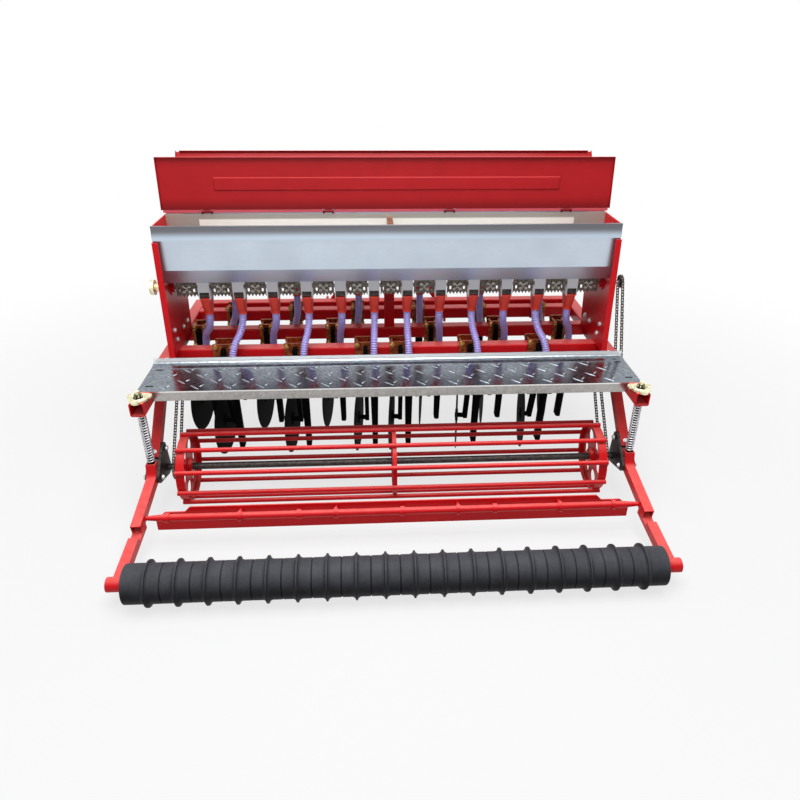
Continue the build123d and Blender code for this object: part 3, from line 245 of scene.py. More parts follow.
def galvanised(name):
    """Hot-dip galvanised plate: spangle crystals of about 11 mm, faint in tone, on a smooth mirroring skin.

    Faces that look up are darker than the lips along the board's folds. A lip's fold, from 565 mm above the
    ground up, carries a near white painted highlight, and the upstand's face, ahead of the board, is washed to
    a pale matt grey.
    """
    material, tree, shader, place = surface(name)
    spangle = add(tree, "ShaderNodeTexVoronoi", {"Scale": 1 / (11 * MM), "Randomness": 1.0},
                  {"Vector": place})
    tone = add(tree, "ShaderNodeSeparateColor", links={"Color": spangle.outputs["Color"]})
    # faces that look up are mixed towards a darker grey than the lips
    upward_tone = add(tree, "ShaderNodeMix", {6: linear("#757c85"), 7: linear("#939aa4")},
                  {0: tone.outputs["Red"]}, data_type="RGBA")
    lips = add(tree, "ShaderNodeMix", {6: linear("#a7a4a1"), 7: linear("#b2afab")},
               {0: tone.outputs["Red"]}, data_type="RGBA")
    spot = add(tree, "ShaderNodeSeparateXYZ", links={0: place})
    # painted highlight: the lip's fold turns near white #f2f2f0 from 565 mm up
    fold_highlight = add(tree, "ShaderNodeMapRange", {"From Min": 565 * MM, "From Max": 569 * MM},
                 {"Value": spot.outputs["Z"]})
    lips_with_highlight = add(tree, "ShaderNodeMix", {7: linear("#f2f2f0")}, {0: fold_highlight.outputs[0], 6: lips.outputs[2]},
                 data_type="RGBA")
    geometry = add(tree, "ShaderNodeNewGeometry")
    normal = add(tree, "ShaderNodeSeparateXYZ", links={0: geometry.outputs["Normal"]})
    level = add(tree, "ShaderNodeMapRange", {"From Min": 0.3, "From Max": 0.8},
                {"Value": normal.outputs["Z"]})
    colour = add(tree, "ShaderNodeMix",
                 links={0: level.outputs[0], 6: lips_with_highlight.outputs[2], 7: upward_tone.outputs[2]},
                 data_type="RGBA")
    gloss = add(tree, "ShaderNodeMapRange", {"To Min": 0.14, "To Max": 0.26},
                {"Value": tone.outputs["Green"]})
    grit = add(tree, "ShaderNodeTexNoise", {"Scale": 1 / (22 * MM), "Detail": 3.0}, {"Vector": place})
    bump = add(tree, "ShaderNodeBump", {"Strength": 0.10, "Distance": 0.6 * MM},
               {"Height": grit.outputs["Fac"]})
    upstand = add(tree, "ShaderNodeMath", {1: -0.5 * MM}, {0: spot.outputs["Y"]}, operation="GREATER_THAN")
    washed = add(tree, "ShaderNodeMapRange", {"To Min": 1.0, "To Max": 0.45}, {"Value": upstand.outputs[0]})
    fit_shader(tree, shader, {}, colour, gloss, bump)
    tree.links.new(washed.outputs[0], shader.inputs["Metallic"])
    return material


def passivated(name, yellow, brown, rough):
    """Zinc plate with yellow chromate passivation: iridescent clouds of about 14 mm from straw to brown."""
    material, tree, shader, place = surface(name)
    clouds = add(tree, "ShaderNodeTexNoise", {"Scale": 1 / (14 * MM), "Detail": 3.0, "Distortion": 0.6},
                 {"Vector": place})
    tone = add(tree, "ShaderNodeMapRange", {"From Min": 0.35, "From Max": 0.65},
               {"Value": clouds.outputs["Fac"]})
    colour = add(tree, "ShaderNodeMix", {6: linear(brown), 7: linear(yellow)}, {0: tone.outputs[0]},
                 data_type="RGBA")
    gloss = add(tree, "ShaderNodeMapRange", {"To Min": rough - 0.08, "To Max": rough + 0.12},
                {"Value": clouds.outputs["Fac"]})
    grit = add(tree, "ShaderNodeTexNoise", {"Scale": 1 / (3 * MM), "Detail": 2.0}, {"Vector": place})
    bump = add(tree, "ShaderNodeBump", {"Strength": 0.15, "Distance": 0.2 * MM},
               {"Height": grit.outputs["Fac"]})
    fit_shader(tree, shader, {"Metallic": 0.85}, colour, gloss, bump)
    return material


def plain_steel(name, light, dark, rough, metallic, spot_mm, gloss_level=0.5):
    """Bare, oiled or blacked steel: tones mottled in spots of spot_mm, from mill scale, oil and handling."""
    material, tree, shader, place = surface(name)
    spots = add(tree, "ShaderNodeTexNoise", {"Scale": 1 / (spot_mm * MM), "Detail": 6.0, "Roughness": 0.6},
                {"Vector": place})
    tone = add(tree, "ShaderNodeMapRange", {"From Min": 0.35, "From Max": 0.68},
               {"Value": spots.outputs["Fac"]})
    colour = add(tree, "ShaderNodeMix", {6: linear(dark), 7: linear(light)}, {0: tone.outputs[0]},
                 data_type="RGBA")
    gloss = add(tree, "ShaderNodeMapRange", {"To Min": rough - 0.08, "To Max": rough + 0.14},
                {"Value": spots.outputs["Fac"]})
    bump = add(tree, "ShaderNodeBump", {"Strength": 0.2, "Distance": 0.3 * MM},
               {"Height": spots.outputs["Fac"]})
    fit_shader(tree, shader, {"Metallic": metallic, "Specular IOR Level": gloss_level}, colour, gloss, bump)
    return material


def moulded_plastic(name, body, shade, rough, through):
    """Moulded polypropylene or PVC: even colour, flow marks of about 30 mm, satin grain, light inside."""
    material, tree, shader, place = surface(name)
    flow = add(tree, "ShaderNodeTexNoise", {"Scale": 1 / (30 * MM), "Detail": 2.0, "Distortion": 1.2},
               {"Vector": place})
    colour = add(tree, "ShaderNodeMix", {6: linear(shade), 7: linear(body)}, {0: flow.outputs["Fac"]},
                 data_type="RGBA")
    grain = add(tree, "ShaderNodeTexNoise", {"Scale": 1 / (2.5 * MM), "Detail": 2.0}, {"Vector": place})
    gloss = add(tree, "ShaderNodeMapRange", {"To Min": rough - 0.06, "To Max": rough + 0.08},
                {"Value": grain.outputs["Fac"]})
    bump = add(tree, "ShaderNodeBump", {"Strength": 0.08, "Distance": 0.2 * MM},
               {"Height": grain.outputs["Fac"]})
    fit_shader(tree, shader, {"Subsurface Weight": through, "Subsurface Radius": (6 * MM, 4 * MM, 6 * MM)},
               colour, gloss, bump)
    return material


def rubber(name):
    """Moulded natural rubber: near black, with scuffs of 8 mm and tone that drifts in clouds of 70 mm.

    Faces that look up carry a painted grey sheen, a painted highlight from above, patchy in the same clouds.
    """
    material, tree, shader, place = surface(name)
    bloom = add(tree, "ShaderNodeTexNoise", {"Scale": 1 / (70 * MM), "Detail": 4.0, "Roughness": 0.6},
                {"Vector": place})
    scuffs = add(tree, "ShaderNodeTexNoise", {"Scale": 1 / (8 * MM), "Detail": 5.0, "Roughness": 0.7},
                 {"Vector": place})
    both = add(tree, "ShaderNodeMath", links={0: bloom.outputs["Fac"], 1: scuffs.outputs["Fac"]},
               operation="MULTIPLY")
    tone = add(tree, "ShaderNodeMapRange", {"From Min": 0.15, "From Max": 0.40}, {"Value": both.outputs[0]})
    clean = add(tree, "ShaderNodeMix", {6: linear("#101012"), 7: linear("#1e1e21")}, {0: tone.outputs[0]},
                data_type="RGBA")
    geometry = add(tree, "ShaderNodeNewGeometry")
    normal = add(tree, "ShaderNodeSeparateXYZ", links={0: geometry.outputs["Normal"]})
    # painted highlight: faces that look up turn towards grey #45464b, patchy in the 70 mm clouds
    upper = add(tree, "ShaderNodeMapRange", {"From Min": -0.15, "From Max": 0.95, "To Max": 0.85},
                {"Value": normal.outputs["Z"]}, interpolation_type="SMOOTHSTEP")
    sheen_clouds = add(tree, "ShaderNodeMapRange", {"To Min": 0.75, "To Max": 1.15}, {"Value": tone.outputs[0]})
    top_sheen = add(tree, "ShaderNodeMath", links={0: upper.outputs[0], 1: sheen_clouds.outputs[0]},
               operation="MULTIPLY")
    colour = add(tree, "ShaderNodeMix", {7: linear("#45464b")}, {0: top_sheen.outputs[0], 6: clean.outputs[2]},
                 data_type="RGBA")
    gloss = add(tree, "ShaderNodeMapRange", {"To Min": 0.40, "To Max": 0.60},
                {"Value": scuffs.outputs["Fac"]})
    bump = add(tree, "ShaderNodeBump", {"Strength": 0.35, "Distance": 0.6 * MM},
               {"Height": scuffs.outputs["Fac"]})
    fit_shader(tree, shader, {"Specular IOR Level": 0.08}, colour, gloss, bump)
    return material


def bin_sheet(name):
    """The rear bin's stainless sheet: brushed outside, and cream on its far inner wall.

    The cream reaches to about 1146 mm above the ground and fades over 6 mm, and stops 840 mm from the middle.
    Above it and beyond it the wall is painted grey shade.
    """
    material = sheet_metal(name, "#c6d1dd", "#bac5d1", 0.32, 1.2)
    tree = material.node_tree
    shader = next(node for node in tree.nodes if node.type == "BSDF_PRINCIPLED")
    sheet = shader.inputs["Base Color"].links[0].from_socket
    place = add(tree, "ShaderNodeTexCoord")
    spot = add(tree, "ShaderNodeSeparateXYZ", links={0: place.outputs["Object"]})
    normal = add(tree, "ShaderNodeSeparateXYZ", links={0: place.outputs["Normal"]})
    rise = add(tree, "ShaderNodeMapRange", {"From Min": 1143 * MM, "From Max": 1149 * MM},
               {"Value": spot.outputs["Z"]})
    far = add(tree, "ShaderNodeMath", {1: 240 * MM}, {0: spot.outputs["Y"]}, operation="GREATER_THAN")
    inward = add(tree, "ShaderNodeMath", {1: -0.5}, {0: normal.outputs["Y"]}, operation="LESS_THAN")
    inside = add(tree, "ShaderNodeMath", links={0: far.outputs[0], 1: inward.outputs[0]},
                 operation="MULTIPLY")
    away = add(tree, "ShaderNodeMath", links={0: spot.outputs["X"]}, operation="ABSOLUTE")
    ends = add(tree, "ShaderNodeMath", {1: 840 * MM}, {0: away.outputs[0]}, operation="GREATER_THAN")
    shaded_part = add(tree, "ShaderNodeMath", links={0: rise.outputs[0], 1: ends.outputs[0]}, operation="MAXIMUM")
    # painted shade: grey #aaa297 above the cream and towards the ends of the far inner wall
    tones = add(tree, "ShaderNodeMix", {6: linear("#fff7ea"), 7: linear("#aaa297")}, {0: shaded_part.outputs[0]},
                data_type="RGBA")
    both = add(tree, "ShaderNodeMix", links={0: inside.outputs[0], 6: sheet, 7: tones.outputs[2]},
               data_type="RGBA")
    matt = add(tree, "ShaderNodeMapRange", {"To Min": 1.0, "To Max": 0.35}, {"Value": inside.outputs[0]})
    tree.links.new(both.outputs[2], shader.inputs["Base Color"])
    tree.links.new(matt.outputs[0], shader.inputs["Metallic"])
    return material


def lid_enamel(name):
    """Dark red enamel of the lids, with painted shade that is deepest along the hinges, at the lids' foot.

    It clears over 55 mm, counted upwards from 1188 mm above the ground with the lids open.
    """
    material = enamel(name, "#a91a1f", "#981418", 0.42, 0.12)
    tree = material.node_tree
    shader = next(node for node in tree.nodes if node.type == "BSDF_PRINCIPLED")
    coat = shader.inputs["Base Color"].links[0].from_socket
    spot = add(tree, "ShaderNodeSeparateXYZ", links={0: add(tree, "ShaderNodeTexCoord").outputs["Object"]})
    # painted shade: the coat darkens to #6c0c11 at the foot of the lid and clears upwards
    rise = add(tree, "ShaderNodeMapRange", {"From Min": 1188 * MM, "From Max": 1243 * MM, "To Min": 0.15},
               {"Value": spot.outputs["Z"]}, interpolation_type="SMOOTHSTEP")
    colour = add(tree, "ShaderNodeMix", {6: linear("#6c0c11")}, {0: rise.outputs[0], 7: coat},
                 data_type="RGBA")
    tree.links.new(colour.outputs[2], shader.inputs["Base Color"])
    return material


def meter_sheet(name):
    """Outlets in clean stainless, with phosphated slides between them.

    The slides are mottled in spots of 7 mm, dark brown to grey: partly their own dark phosphate, partly painted
    shade of the recess under the outlets.
    """
    material, tree, shader, place = surface(name)
    spot = add(tree, "ShaderNodeSeparateXYZ", links={0: place})
    row = add(tree, "ShaderNodeMath", {1: METER_PITCH * MM}, {0: spot.outputs["X"]}, operation="DIVIDE")
    phase = add(tree, "ShaderNodeMath", links={0: row.outputs[0]}, operation="FRACT")
    off = add(tree, "ShaderNodeMath", {1: 0.5}, {0: phase.outputs[0]}, operation="SUBTRACT")
    away = add(tree, "ShaderNodeMath", links={0: off.outputs[0]}, operation="ABSOLUTE")
    slide = add(tree, "ShaderNodeMath", {1: OUTLET_WIDE / 2 / METER_PITCH}, {0: away.outputs[0]},
                operation="GREATER_THAN")
    spots = add(tree, "ShaderNodeTexNoise", {"Scale": 1 / (7 * MM), "Detail": 4.0, "Roughness": 0.7},
                {"Vector": place})
    tone = add(tree, "ShaderNodeMapRange", {"From Min": 0.35, "From Max": 0.72},
               {"Value": spots.outputs["Fac"]})
    # painted shade in part: the slides are drawn dark, as they look recessed under the outlets
    dark = add(tree, "ShaderNodeMix", {6: linear("#231c19"), 7: linear("#857a70")}, {0: tone.outputs[0]},
               data_type="RGBA")
    both = add(tree, "ShaderNodeMix", {6: linear("#a5a3a7")}, {0: slide.outputs[0], 7: dark.outputs[2]},
               data_type="RGBA")
    matt = add(tree, "ShaderNodeMapRange", {"To Min": 0.30, "To Max": 0.55}, {"Value": slide.outputs[0]})
    bump = add(tree, "ShaderNodeBump", {"Strength": 0.12, "Distance": 0.3 * MM},
               {"Height": spots.outputs["Fac"]})
    fit_shader(tree, shader, {"Metallic": 0.8}, both, matt, bump)
    return material


def rim_sheet(name):
    """Rolled rim of the bin: painted shade, grey from 1152 mm above the ground, where it curls over, to bright
    at 1116 mm.
    """
    material, tree, shader, place = surface(name)
    spot = add(tree, "ShaderNodeSeparateXYZ", links={0: place})
    rise = add(tree, "ShaderNodeMapRange", {"From Min": 1116 * MM, "From Max": 1152 * MM},
               {"Value": spot.outputs["Z"]}, interpolation_type="SMOOTHSTEP")
    drawn_out = add(tree, "ShaderNodeMapping", {"Scale": (0.1, 1.0, 3.0)}, {"Vector": place})
    streaks = add(tree, "ShaderNodeTexNoise", {"Scale": 1 / (30 * MM), "Detail": 3.0},
                  {"Vector": drawn_out.outputs[0]})
    # painted shade: the sheet darkens from #bccad9 to #6d6e73 towards the top, where the rim turns away from
    # the light
    colour = add(tree, "ShaderNodeMix", {6: linear("#bccad9"), 7: linear("#6d6e73")}, {0: rise.outputs[0]},
                 data_type="RGBA")
    gloss = add(tree, "ShaderNodeMapRange", {"To Min": 0.26, "To Max": 0.40},
                {"Value": streaks.outputs["Fac"]})
    fit_shader(tree, shader, {"Metallic": 1.0}, colour, gloss)
    return material


MATERIALS = {
    # one for each material slot of the record
    "red_paint": enamel("red_gloss_enamel", "#cc1119", "#b40d14", 0.32, 0.25),
    "dark_red_paint": enamel("dark_red_enamel", "#a91a1f", "#981418", 0.42, 0.12),
    # near black: the opener legs, boots and knives are drawn as dark as they look in the shade under the box,
    # partly painted shade; the board's slots use it as painted shade
    "black_paint": plain_steel("near_black_with_painted_shade", "#0c0c0d", "#050506", 0.78, 0.0, 30, 0.05),
    "stainless_sheet": sheet_metal("brushed_stainless_sheet", "#c6d1dd", "#bac5d1", 0.32, 1.2),
    "galvanised_plate": galvanised("galvanised_checker_plate"),
    "yellow_zinc": passivated("yellow_passivated_zinc", "#f6f4d6", "#cdc59c", 0.34),
    "bright_steel": plain_steel("drawn_bright_steel", "#8f9296", "#5f6064", 0.30, 1.0, 20),
    "dark_steel": plain_steel("oiled_dark_steel", "#4a4440", "#241f1d", 0.42, 0.7, 18),
    "disc_steel": plain_steel("blacked_disc_steel", "#0d0c0d", "#040404", 0.80, 0.0, 45, 0.05),
    "spring_steel": plain_steel("bright_plated_spring_wire", "#d9dade", "#9b9ea4", 0.24, 1.0, 12),
    "orange_plastic": moulded_plastic("red_orange_polypropylene", "#d5331c", "#c02814", 0.38, 0.05),
    "lilac_hose": moulded_plastic("lilac_soft_pvc", "#b1a6e4", "#9c8fd2", 0.34, 0.25),
    "black_rubber": rubber("moulded_black_rubber"),
    # finishes of single nodes and of the pieces made here
    "lid_paint": lid_enamel("lid_red_enamel_with_painted_shade"),
    # painted highlight: the lid's foot fold is painted a lighter pink red, as where light falls on it
    "fold_painted_highlight": enamel("red_fold_with_painted_highlight", "#c4555d", "#b2474f", 0.50, 0.15),
    "bin_sheet": bin_sheet("stainless_bin_with_painted_shade"),
    "rim_sheet": rim_sheet("stainless_rolled_rim"),
    "meter_sheet": meter_sheet("stainless_outlets_and_dark_slides"),
    "brown_zinc": passivated("brown_passivated_clamp", "#a85a30", "#632d15", 0.38),
    "bolt": passivated("yellow_zinc_bolts", "#d8ae6a", "#7e5526", 0.30),
    "stay": passivated("brown_passivated_strap", "#b08a6a", "#7d5a42", 0.45),
    "white_bolt": plain_steel("white_zinc_bolts", "#f0f0ee", "#c4c6c8", 0.28, 0.6, 8),
    "clip": plain_steel("nickel_plated_clips", "#bdb6b0", "#6d645e", 0.36, 0.6, 6),
    # bright metal of the tread marks, partly polished wear and partly painted highlight; on the upstand's bend
    # it is a painted highlight only
    "tread_wear_and_highlight": plain_steel("polished_tread_and_painted_highlight", "#b4bac0", "#737b82", 0.30, 0.85, 10),
    "oiled_shaft": plain_steel("oiled_shaft_steel", "#4a4340", "#211d1b", 0.40, 0.6, 16),
    "chain": plain_steel("oiled_roller_chain", "#7c776f", "#2d2926", 0.34, 0.9, 7),
}

# nodes whose finish differs from the rest of their slot
OWN_FINISH = {"opener_clamps": "brown_zinc", "cage_shaft": "oiled_shaft", "spring_rods": "oiled_shaft",
              "seed_meters": "meter_sheet", "seed_bin": "bin_sheet", "seed_lid": "lid_paint",
              "fertiliser_lid": "lid_paint", "lid_hinges": "lid_paint"}


def paint_nodes():
    """Every node of the model takes its own finish or that of its slot in the record."""
    for part in frame["record"]["subparts"]:
        node = frame["nodes"][part["node"]]
        node.data.materials.clear()
        node.data.materials.append(MATERIALS[OWN_FINISH.get(part["node"], part["material_slot"])])


# ------------------------------------------------------------------ modelling helpers, with sizes in mm
AXIS_TURNS = {"X": (0, math.pi / 2, 0), "Y": (math.pi / 2, 0, 0), "Z": (0, 0, 0)}
BACK, AHEAD, UP, LEFT, RIGHT = (0, -1, 0), (0, 1, 0), (0, 0, 1), (-1, 0, 0), (1, 0, 0)


def only(piece):
    """Deselect everything, then select one piece and make it active."""
    bpy.ops.object.select_all(action="DESELECT")
    piece.select_set(True)
    bpy.context.view_layer.objects.active = piece
    return piece


def apply_modifiers(piece):
    only(piece)
    for modifier in list(piece.modifiers):
        bpy.ops.object.modifier_apply(modifier=modifier.name)


def settle(piece):
    """Put a piece's place, turn and size into its mesh."""
    only(piece)
    bpy.ops.object.transform_apply(location=True, rotation=True, scale=True)
    return piece


def copy_to(piece, matrix):
    made = piece.copy()
    made.data = piece.data.copy()
    bpy.context.collection.objects.link(made)
    made.matrix_world = matrix
    return made


def joined(pieces, name):
    """Join pieces into one mesh with its place in its points."""
    bpy.ops.object.select_all(action="DESELECT")
    for piece in pieces:
        piece.select_set(True)
    bpy.context.view_layer.objects.active = pieces[0]
    bpy.ops.object.join()
    made = bpy.context.object
    made.name = name
    return settle(made)


def cap_and_smooth(piece, angle):
    """Close open ends, turn faces outwards and shade smooth below an angle in degrees."""
    only(piece)
    bpy.ops.object.mode_set(mode="EDIT")
    bpy.ops.mesh.select_mode(type="VERT")
    bpy.ops.mesh.select_all(action="SELECT")
    bpy.ops.mesh.remove_doubles(threshold=0.01 * MM)
    bpy.ops.mesh.select_all(action="DESELECT")
    bpy.ops.mesh.select_non_manifold(extend=False, use_wire=False, use_boundary=True, use_multi_face=False,
                                     use_non_contiguous=False, use_verts=False)
    bpy.ops.mesh.fill_holes(sides=0)
    bpy.ops.mesh.select_all(action="SELECT")
    bpy.ops.mesh.normals_make_consistent(inside=False)
    bpy.ops.object.mode_set(mode="OBJECT")
    bpy.ops.object.shade_smooth_by_angle(angle=math.radians(angle))
    return piece


def dress(piece, name, slot, finish=None, body="frame", stands_for=()):
    """Name a piece, give it its slot's finish or its own, and set the body it rides and what it replaces."""
    piece.name = name
    piece.data.name = name
    piece.data.materials.clear()
    piece.data.materials.append(MATERIALS[finish or slot])
    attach(piece, body)
    if stands_for:
        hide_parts(*stands_for)
    return piece


def ring(place, radius, sides, axis):
    """Open circle, the section of what is extruded or screwed from it."""
    bpy.ops.object.select_all(action="DESELECT")
    bpy.ops.mesh.primitive_circle_add(vertices=sides, radius=radius * MM, location=Vector(place) * MM,
                                      rotation=AXIS_TURNS[axis])
    return settle(bpy.context.object)


def bar(place, radius, length, sides, axis="Z"):
    """Round bar about its place, along an axis."""
    bpy.ops.object.select_all(action="DESELECT")
    bpy.ops.mesh.primitive_cylinder_add(vertices=sides, radius=radius * MM, depth=length * MM,
                                        location=Vector(place) * MM, rotation=AXIS_TURNS[axis])
    return bpy.context.object


def block(place, size, turn=(0, 0, 0)):
    """Block about its place, turned by angles in degrees."""
    bpy.ops.object.select_all(action="DESELECT")
    bpy.ops.mesh.primitive_cube_add(size=1, location=Vector(place) * MM, scale=Vector(size) * MM,
                                    rotation=[math.radians(angle) for angle in turn])
    return settle(bpy.context.object)


def chamfer(piece, width, segments=2):
    edge = piece.modifiers.new("chamfer", "BEVEL")
    edge.width, edge.segments, edge.limit_method = width * MM, segments, "ANGLE"
    apply_modifiers(piece)
    return piece


def move_where(piece, chosen, shift):
    """Move the vertices for which chosen(X, Y, Z), in the piece's own space, holds."""
    only(piece)
    bpy.ops.object.mode_set(mode="EDIT")
    bpy.ops.mesh.select_mode(type="VERT")
    bpy.ops.mesh.select_all(action="DESELECT")
    bpy.ops.object.mode_set(mode="OBJECT")
    for vertex in piece.data.vertices:
        vertex.select = chosen(*(vertex.co / MM))
    bpy.ops.object.mode_set(mode="EDIT")
    bpy.ops.transform.translate(value=Vector(shift) * MM)
    bpy.ops.object.mode_set(mode="OBJECT")
    return piece


def stretched(piece, length):
    """Draw a round piece out along +X, to leave one with two round ends."""
    return move_where(piece, lambda x, y, z: x > 0.01, (length, 0, 0))


def cut(piece, place, normal, clear=False):
    """Cut a piece by a plane, and when clear is set drop the side that the normal points to."""
    only(piece)
    bpy.ops.object.mode_set(mode="EDIT")
    bpy.ops.mesh.select_all(action="SELECT")
    bpy.ops.mesh.bisect(plane_co=Vector(place) * MM, plane_no=normal, use_fill=clear, clear_outer=clear)
    bpy.ops.object.mode_set(mode="OBJECT")


def row_x(index, count, pitch):
    """X of one row out of a count that is centred on the machine."""
    return (index - (count - 1) / 2) * pitch


def guide_line(points, closed=False):
    """Line for a curve modifier, points in metres: smooth and open, or straight runs closed in one plane."""
    data = bpy.data.curves.new("guide_line", "CURVE")
    data.dimensions = "2D" if closed else "3D"
    data.resolution_u = 24
    spline = data.splines.new("POLY" if closed else "NURBS")
    spline.points.add(len(points) - 1)
    for knot, point in zip(spline.points, points):
        knot.co = (*point, 1)
    spline.order_u = 3
    spline.use_endpoint_u, spline.use_cyclic_u = not closed, closed
    line = bpy.data.objects.new("guide_line", data)
    bpy.context.collection.objects.link(line)
    return line


def bent_along(piece, line):
    """Bend a run of repeats along its line, and drop the line."""
    piece.modifiers.new("bend", "CURVE").object = line
    apply_modifiers(piece)
    bpy.data.objects.remove(line)
    return piece


# ------------------------------------------------------------------ ribbed hoses
HOSE_R, HOSE_SIDES = 17, 18
RIB_DEPTH, RIB_PITCH = 3.6, 10.5
HOSE_IN_NECK = 6
FUNNEL_HALF, BOOT_HALF = 38, 19
FRONT_BOOT_Y, KNIFE_TUBE_Y = 322, 584
# heights of a hose's upper bend, lower bend and end
SEED_HEIGHTS, FERT_HEIGHTS = (677, 578, 380), (650, 520, 440)


def one_rib():
    """One corrugation along +X: valley, crest, crest, valley."""
    valley = HOSE_R - RIB_DEPTH
    rib = ring((0, 0, 0), valley, HOSE_SIDES, "X")
    bpy.ops.object.mode_set(mode="EDIT")
    for grow in (HOSE_R / valley, 1.0, valley / HOSE_R, 1.0):
        bpy.ops.mesh.extrude_region_move(TRANSFORM_OT_translate={"value": (RIB_PITCH / 4 * MM, 0, 0)})
        bpy.ops.transform.resize(value=(1, grow, grow))
    bpy.ops.object.mode_set(mode="OBJECT")
    return rib


def ribbed_hose(points):
    hose, line = one_rib(), guide_line(points)
    run = hose.modifiers.new("ribs", "ARRAY")
    run.fit_type, run.curve = "FIT_CURVE", line
    run.use_merge_vertices, run.merge_threshold = True, 0.1 * MM
    return cap_and_smooth(bent_along(hose, line), 60)


def hose_set(name, replaced, count, neck, foot_ys, heights):
    """One hose for each row, from its funnel's neck (Y, Z in metres) down to a boot or knife tube."""
    hoses = []
    widen = ROWS // count
    for i in range(count):
        top_x, foot_x = (row_x(i, count, widen * pitch) * MM for pitch in (METER_PITCH, ROW_PITCH))
        foot_y = foot_ys[min(i, count - 1 - i) % len(foot_ys)]
        bend, lower, end = (height * MM for height in heights)
        hoses.append(ribbed_hose([(top_x, neck[0], neck[1]), (top_x, neck[0], bend), (foot_x, foot_y, lower),
                                  (foot_x, foot_y, end)]))
    dress(joined(hoses, name), name, "lilac_hose", stands_for=[replaced])


def make_hoses():
    low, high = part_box("funnels")
    neck_z = low.z + HOSE_IN_NECK * MM
    rear_boot_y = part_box("seed_boots")[0].y + BOOT_HALF * MM
    hose_set("ribbed_seed_hoses", "seed_hoses", ROWS, (low.y + FUNNEL_HALF * MM, neck_z),
             (FRONT_BOOT_Y * MM, rear_boot_y), SEED_HEIGHTS)
    hose_set("ribbed_fertiliser_hoses", "fertiliser_hoses", FERT_ROWS, (high.y - FUNNEL_HALF * MM, neck_z),
             (KNIFE_TUBE_Y * MM,), FERT_HEIGHTS)


# ------------------------------------------------------------------ coil springs
SPRING_R, WIRE_R = 18, 2.9
COIL_PITCH = 11.5


def make_springs():
    """Compression springs of round wire on the press arms' rods."""
    low, high = (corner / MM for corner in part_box("press_springs"))
    height = high.z - low.z - 2 * WIRE_R
    turns = int(height / COIL_PITCH)
    springs = []
    for x in (low.x + SPRING_R, high.x - SPRING_R):
        coil = ring((SPRING_R - WIRE_R, 0, 0), WIRE_R, 10, "Y")
        screw = coil.modifiers.new("turns", "SCREW")
        screw.axis, screw.angle = "Z", TURN
        screw.screw_offset, screw.iterations = height / turns * MM, turns
        screw.steps = screw.render_steps = 20
        apply_modifiers(coil)
        cap_and_smooth(coil, 40)
        coil.location = Vector((x, (low.y + high.y) / 2, low.z + WIRE_R)) * MM
        springs.append(coil)
    dress(joined(springs, "coil_springs"), "coil_springs", "spring_steel", stands_for=["press_springs"])


# ------------------------------------------------------------------ roller chains
CHAIN_PITCH = 12.7
PLATE_HEIGHT, PLATE_THICK = 10, 1.4
INNER_PLATE, OUTER_PLATE = 3.6, 5.2
ROLLER_R, ROLLER_WIDE = 4, 11.6
ARC_STEPS = 24
# shafts as (Y, Z) and the radius of the belt line on their sprockets
CAGE, CROSS, REAR_METER, FRONT_METER = ((-214, 168), 53), ((46, 475), 39), ((192, 862), 31), ((354, 862), 31)
# X of each chain's plane, its lower or rear shaft, its upper or front shaft
LOOPS = [(-968, CAGE, CROSS), (968, CAGE, CROSS), (1073, CROSS, REAR_METER), (1004, REAR_METER, FRONT_METER)]


def loop_points(low, low_r, high, high_r):
    """Points in metres round the belt line of two sprockets, anticlockwise."""
    span = Vector(high) - Vector(low)
    along = math.atan2(span.y, span.x)
    lean = math.acos((low_r - high_r) / span.length)
    points = []
    for centre, radius, start, sweep in ((high, high_r, along - lean, 2 * lean),
                                         (low, low_r, along + lean, TURN - 2 * lean)):
        for k in range(ARC_STEPS + 1):
            angle = start + sweep * k / ARC_STEPS
            points.append(((centre[0] + radius * math.cos(angle)) * MM,
                           (centre[1] + radius * math.sin(angle)) * MM, 0))
    return points


def link_pair():
    """One inner and one outer link, two pitches long, along +X: four plates and two rollers."""
    parts = []
    for start, offset in ((0, INNER_PLATE), (CHAIN_PITCH, OUTER_PLATE)):
        for side in (-1, 1):
            plate = bar((start, 0, side * offset), PLATE_HEIGHT / 2, PLATE_THICK, 12)
            parts.append(stretched(plate, CHAIN_PITCH))
        parts.append(bar((start, 0, 0), ROLLER_R, ROLLER_WIDE, 10))
    return joined(parts, "link_pair")


def make_chains():
    chains = []
    for x, (low, low_r), (high, high_r) in LOOPS:
        line = guide_line(loop_points(low, low_r, high, high_r), closed=True)
        length = line.data.splines[0].calc_length()
        pairs = round(length / (2 * CHAIN_PITCH * MM))
        chain = link_pair()
        chain.scale.x = length / (pairs * 2 * CHAIN_PITCH * MM)
        settle(chain)
        run = chain.modifiers.new("links", "ARRAY")
        run.count, run.use_relative_offset, run.use_constant_offset = pairs, False, True
        run.constant_offset_displace = (length / pairs, 0, 0)
        bent_along(chain, line)
        chain.matrix_world = Matrix(((0, 0, 1, x * MM), (1, 0, 0, 0), (0, 1, 0, 0), (0, 0, 0, 1)))
        chains.append(settle(chain))
    dress(cap_and_smooth(joined(chains, "roller_chains"), 30), "roller_chains", "dark_steel", "chain",
          stands_for=["drive_chains"])


# ------------------------------------------------------------------ bolts, nuts and rivets
def bolt_head(across, tall, sides=6, washer=0):
    """Bolt head that stands on Z = 0 with its chamfered top up, on a washer when one is asked for."""
    head = chamfer(bar((0, 0, tall / 2), across / 2 / math.cos(math.pi / sides), tall, sides), 0.14 * tall)
    if not washer:
        return settle(head)
    return joined([head, chamfer(bar((0, 0, 1), washer / 2, 2, 20), 0.4, 1)], "washer_and_head")


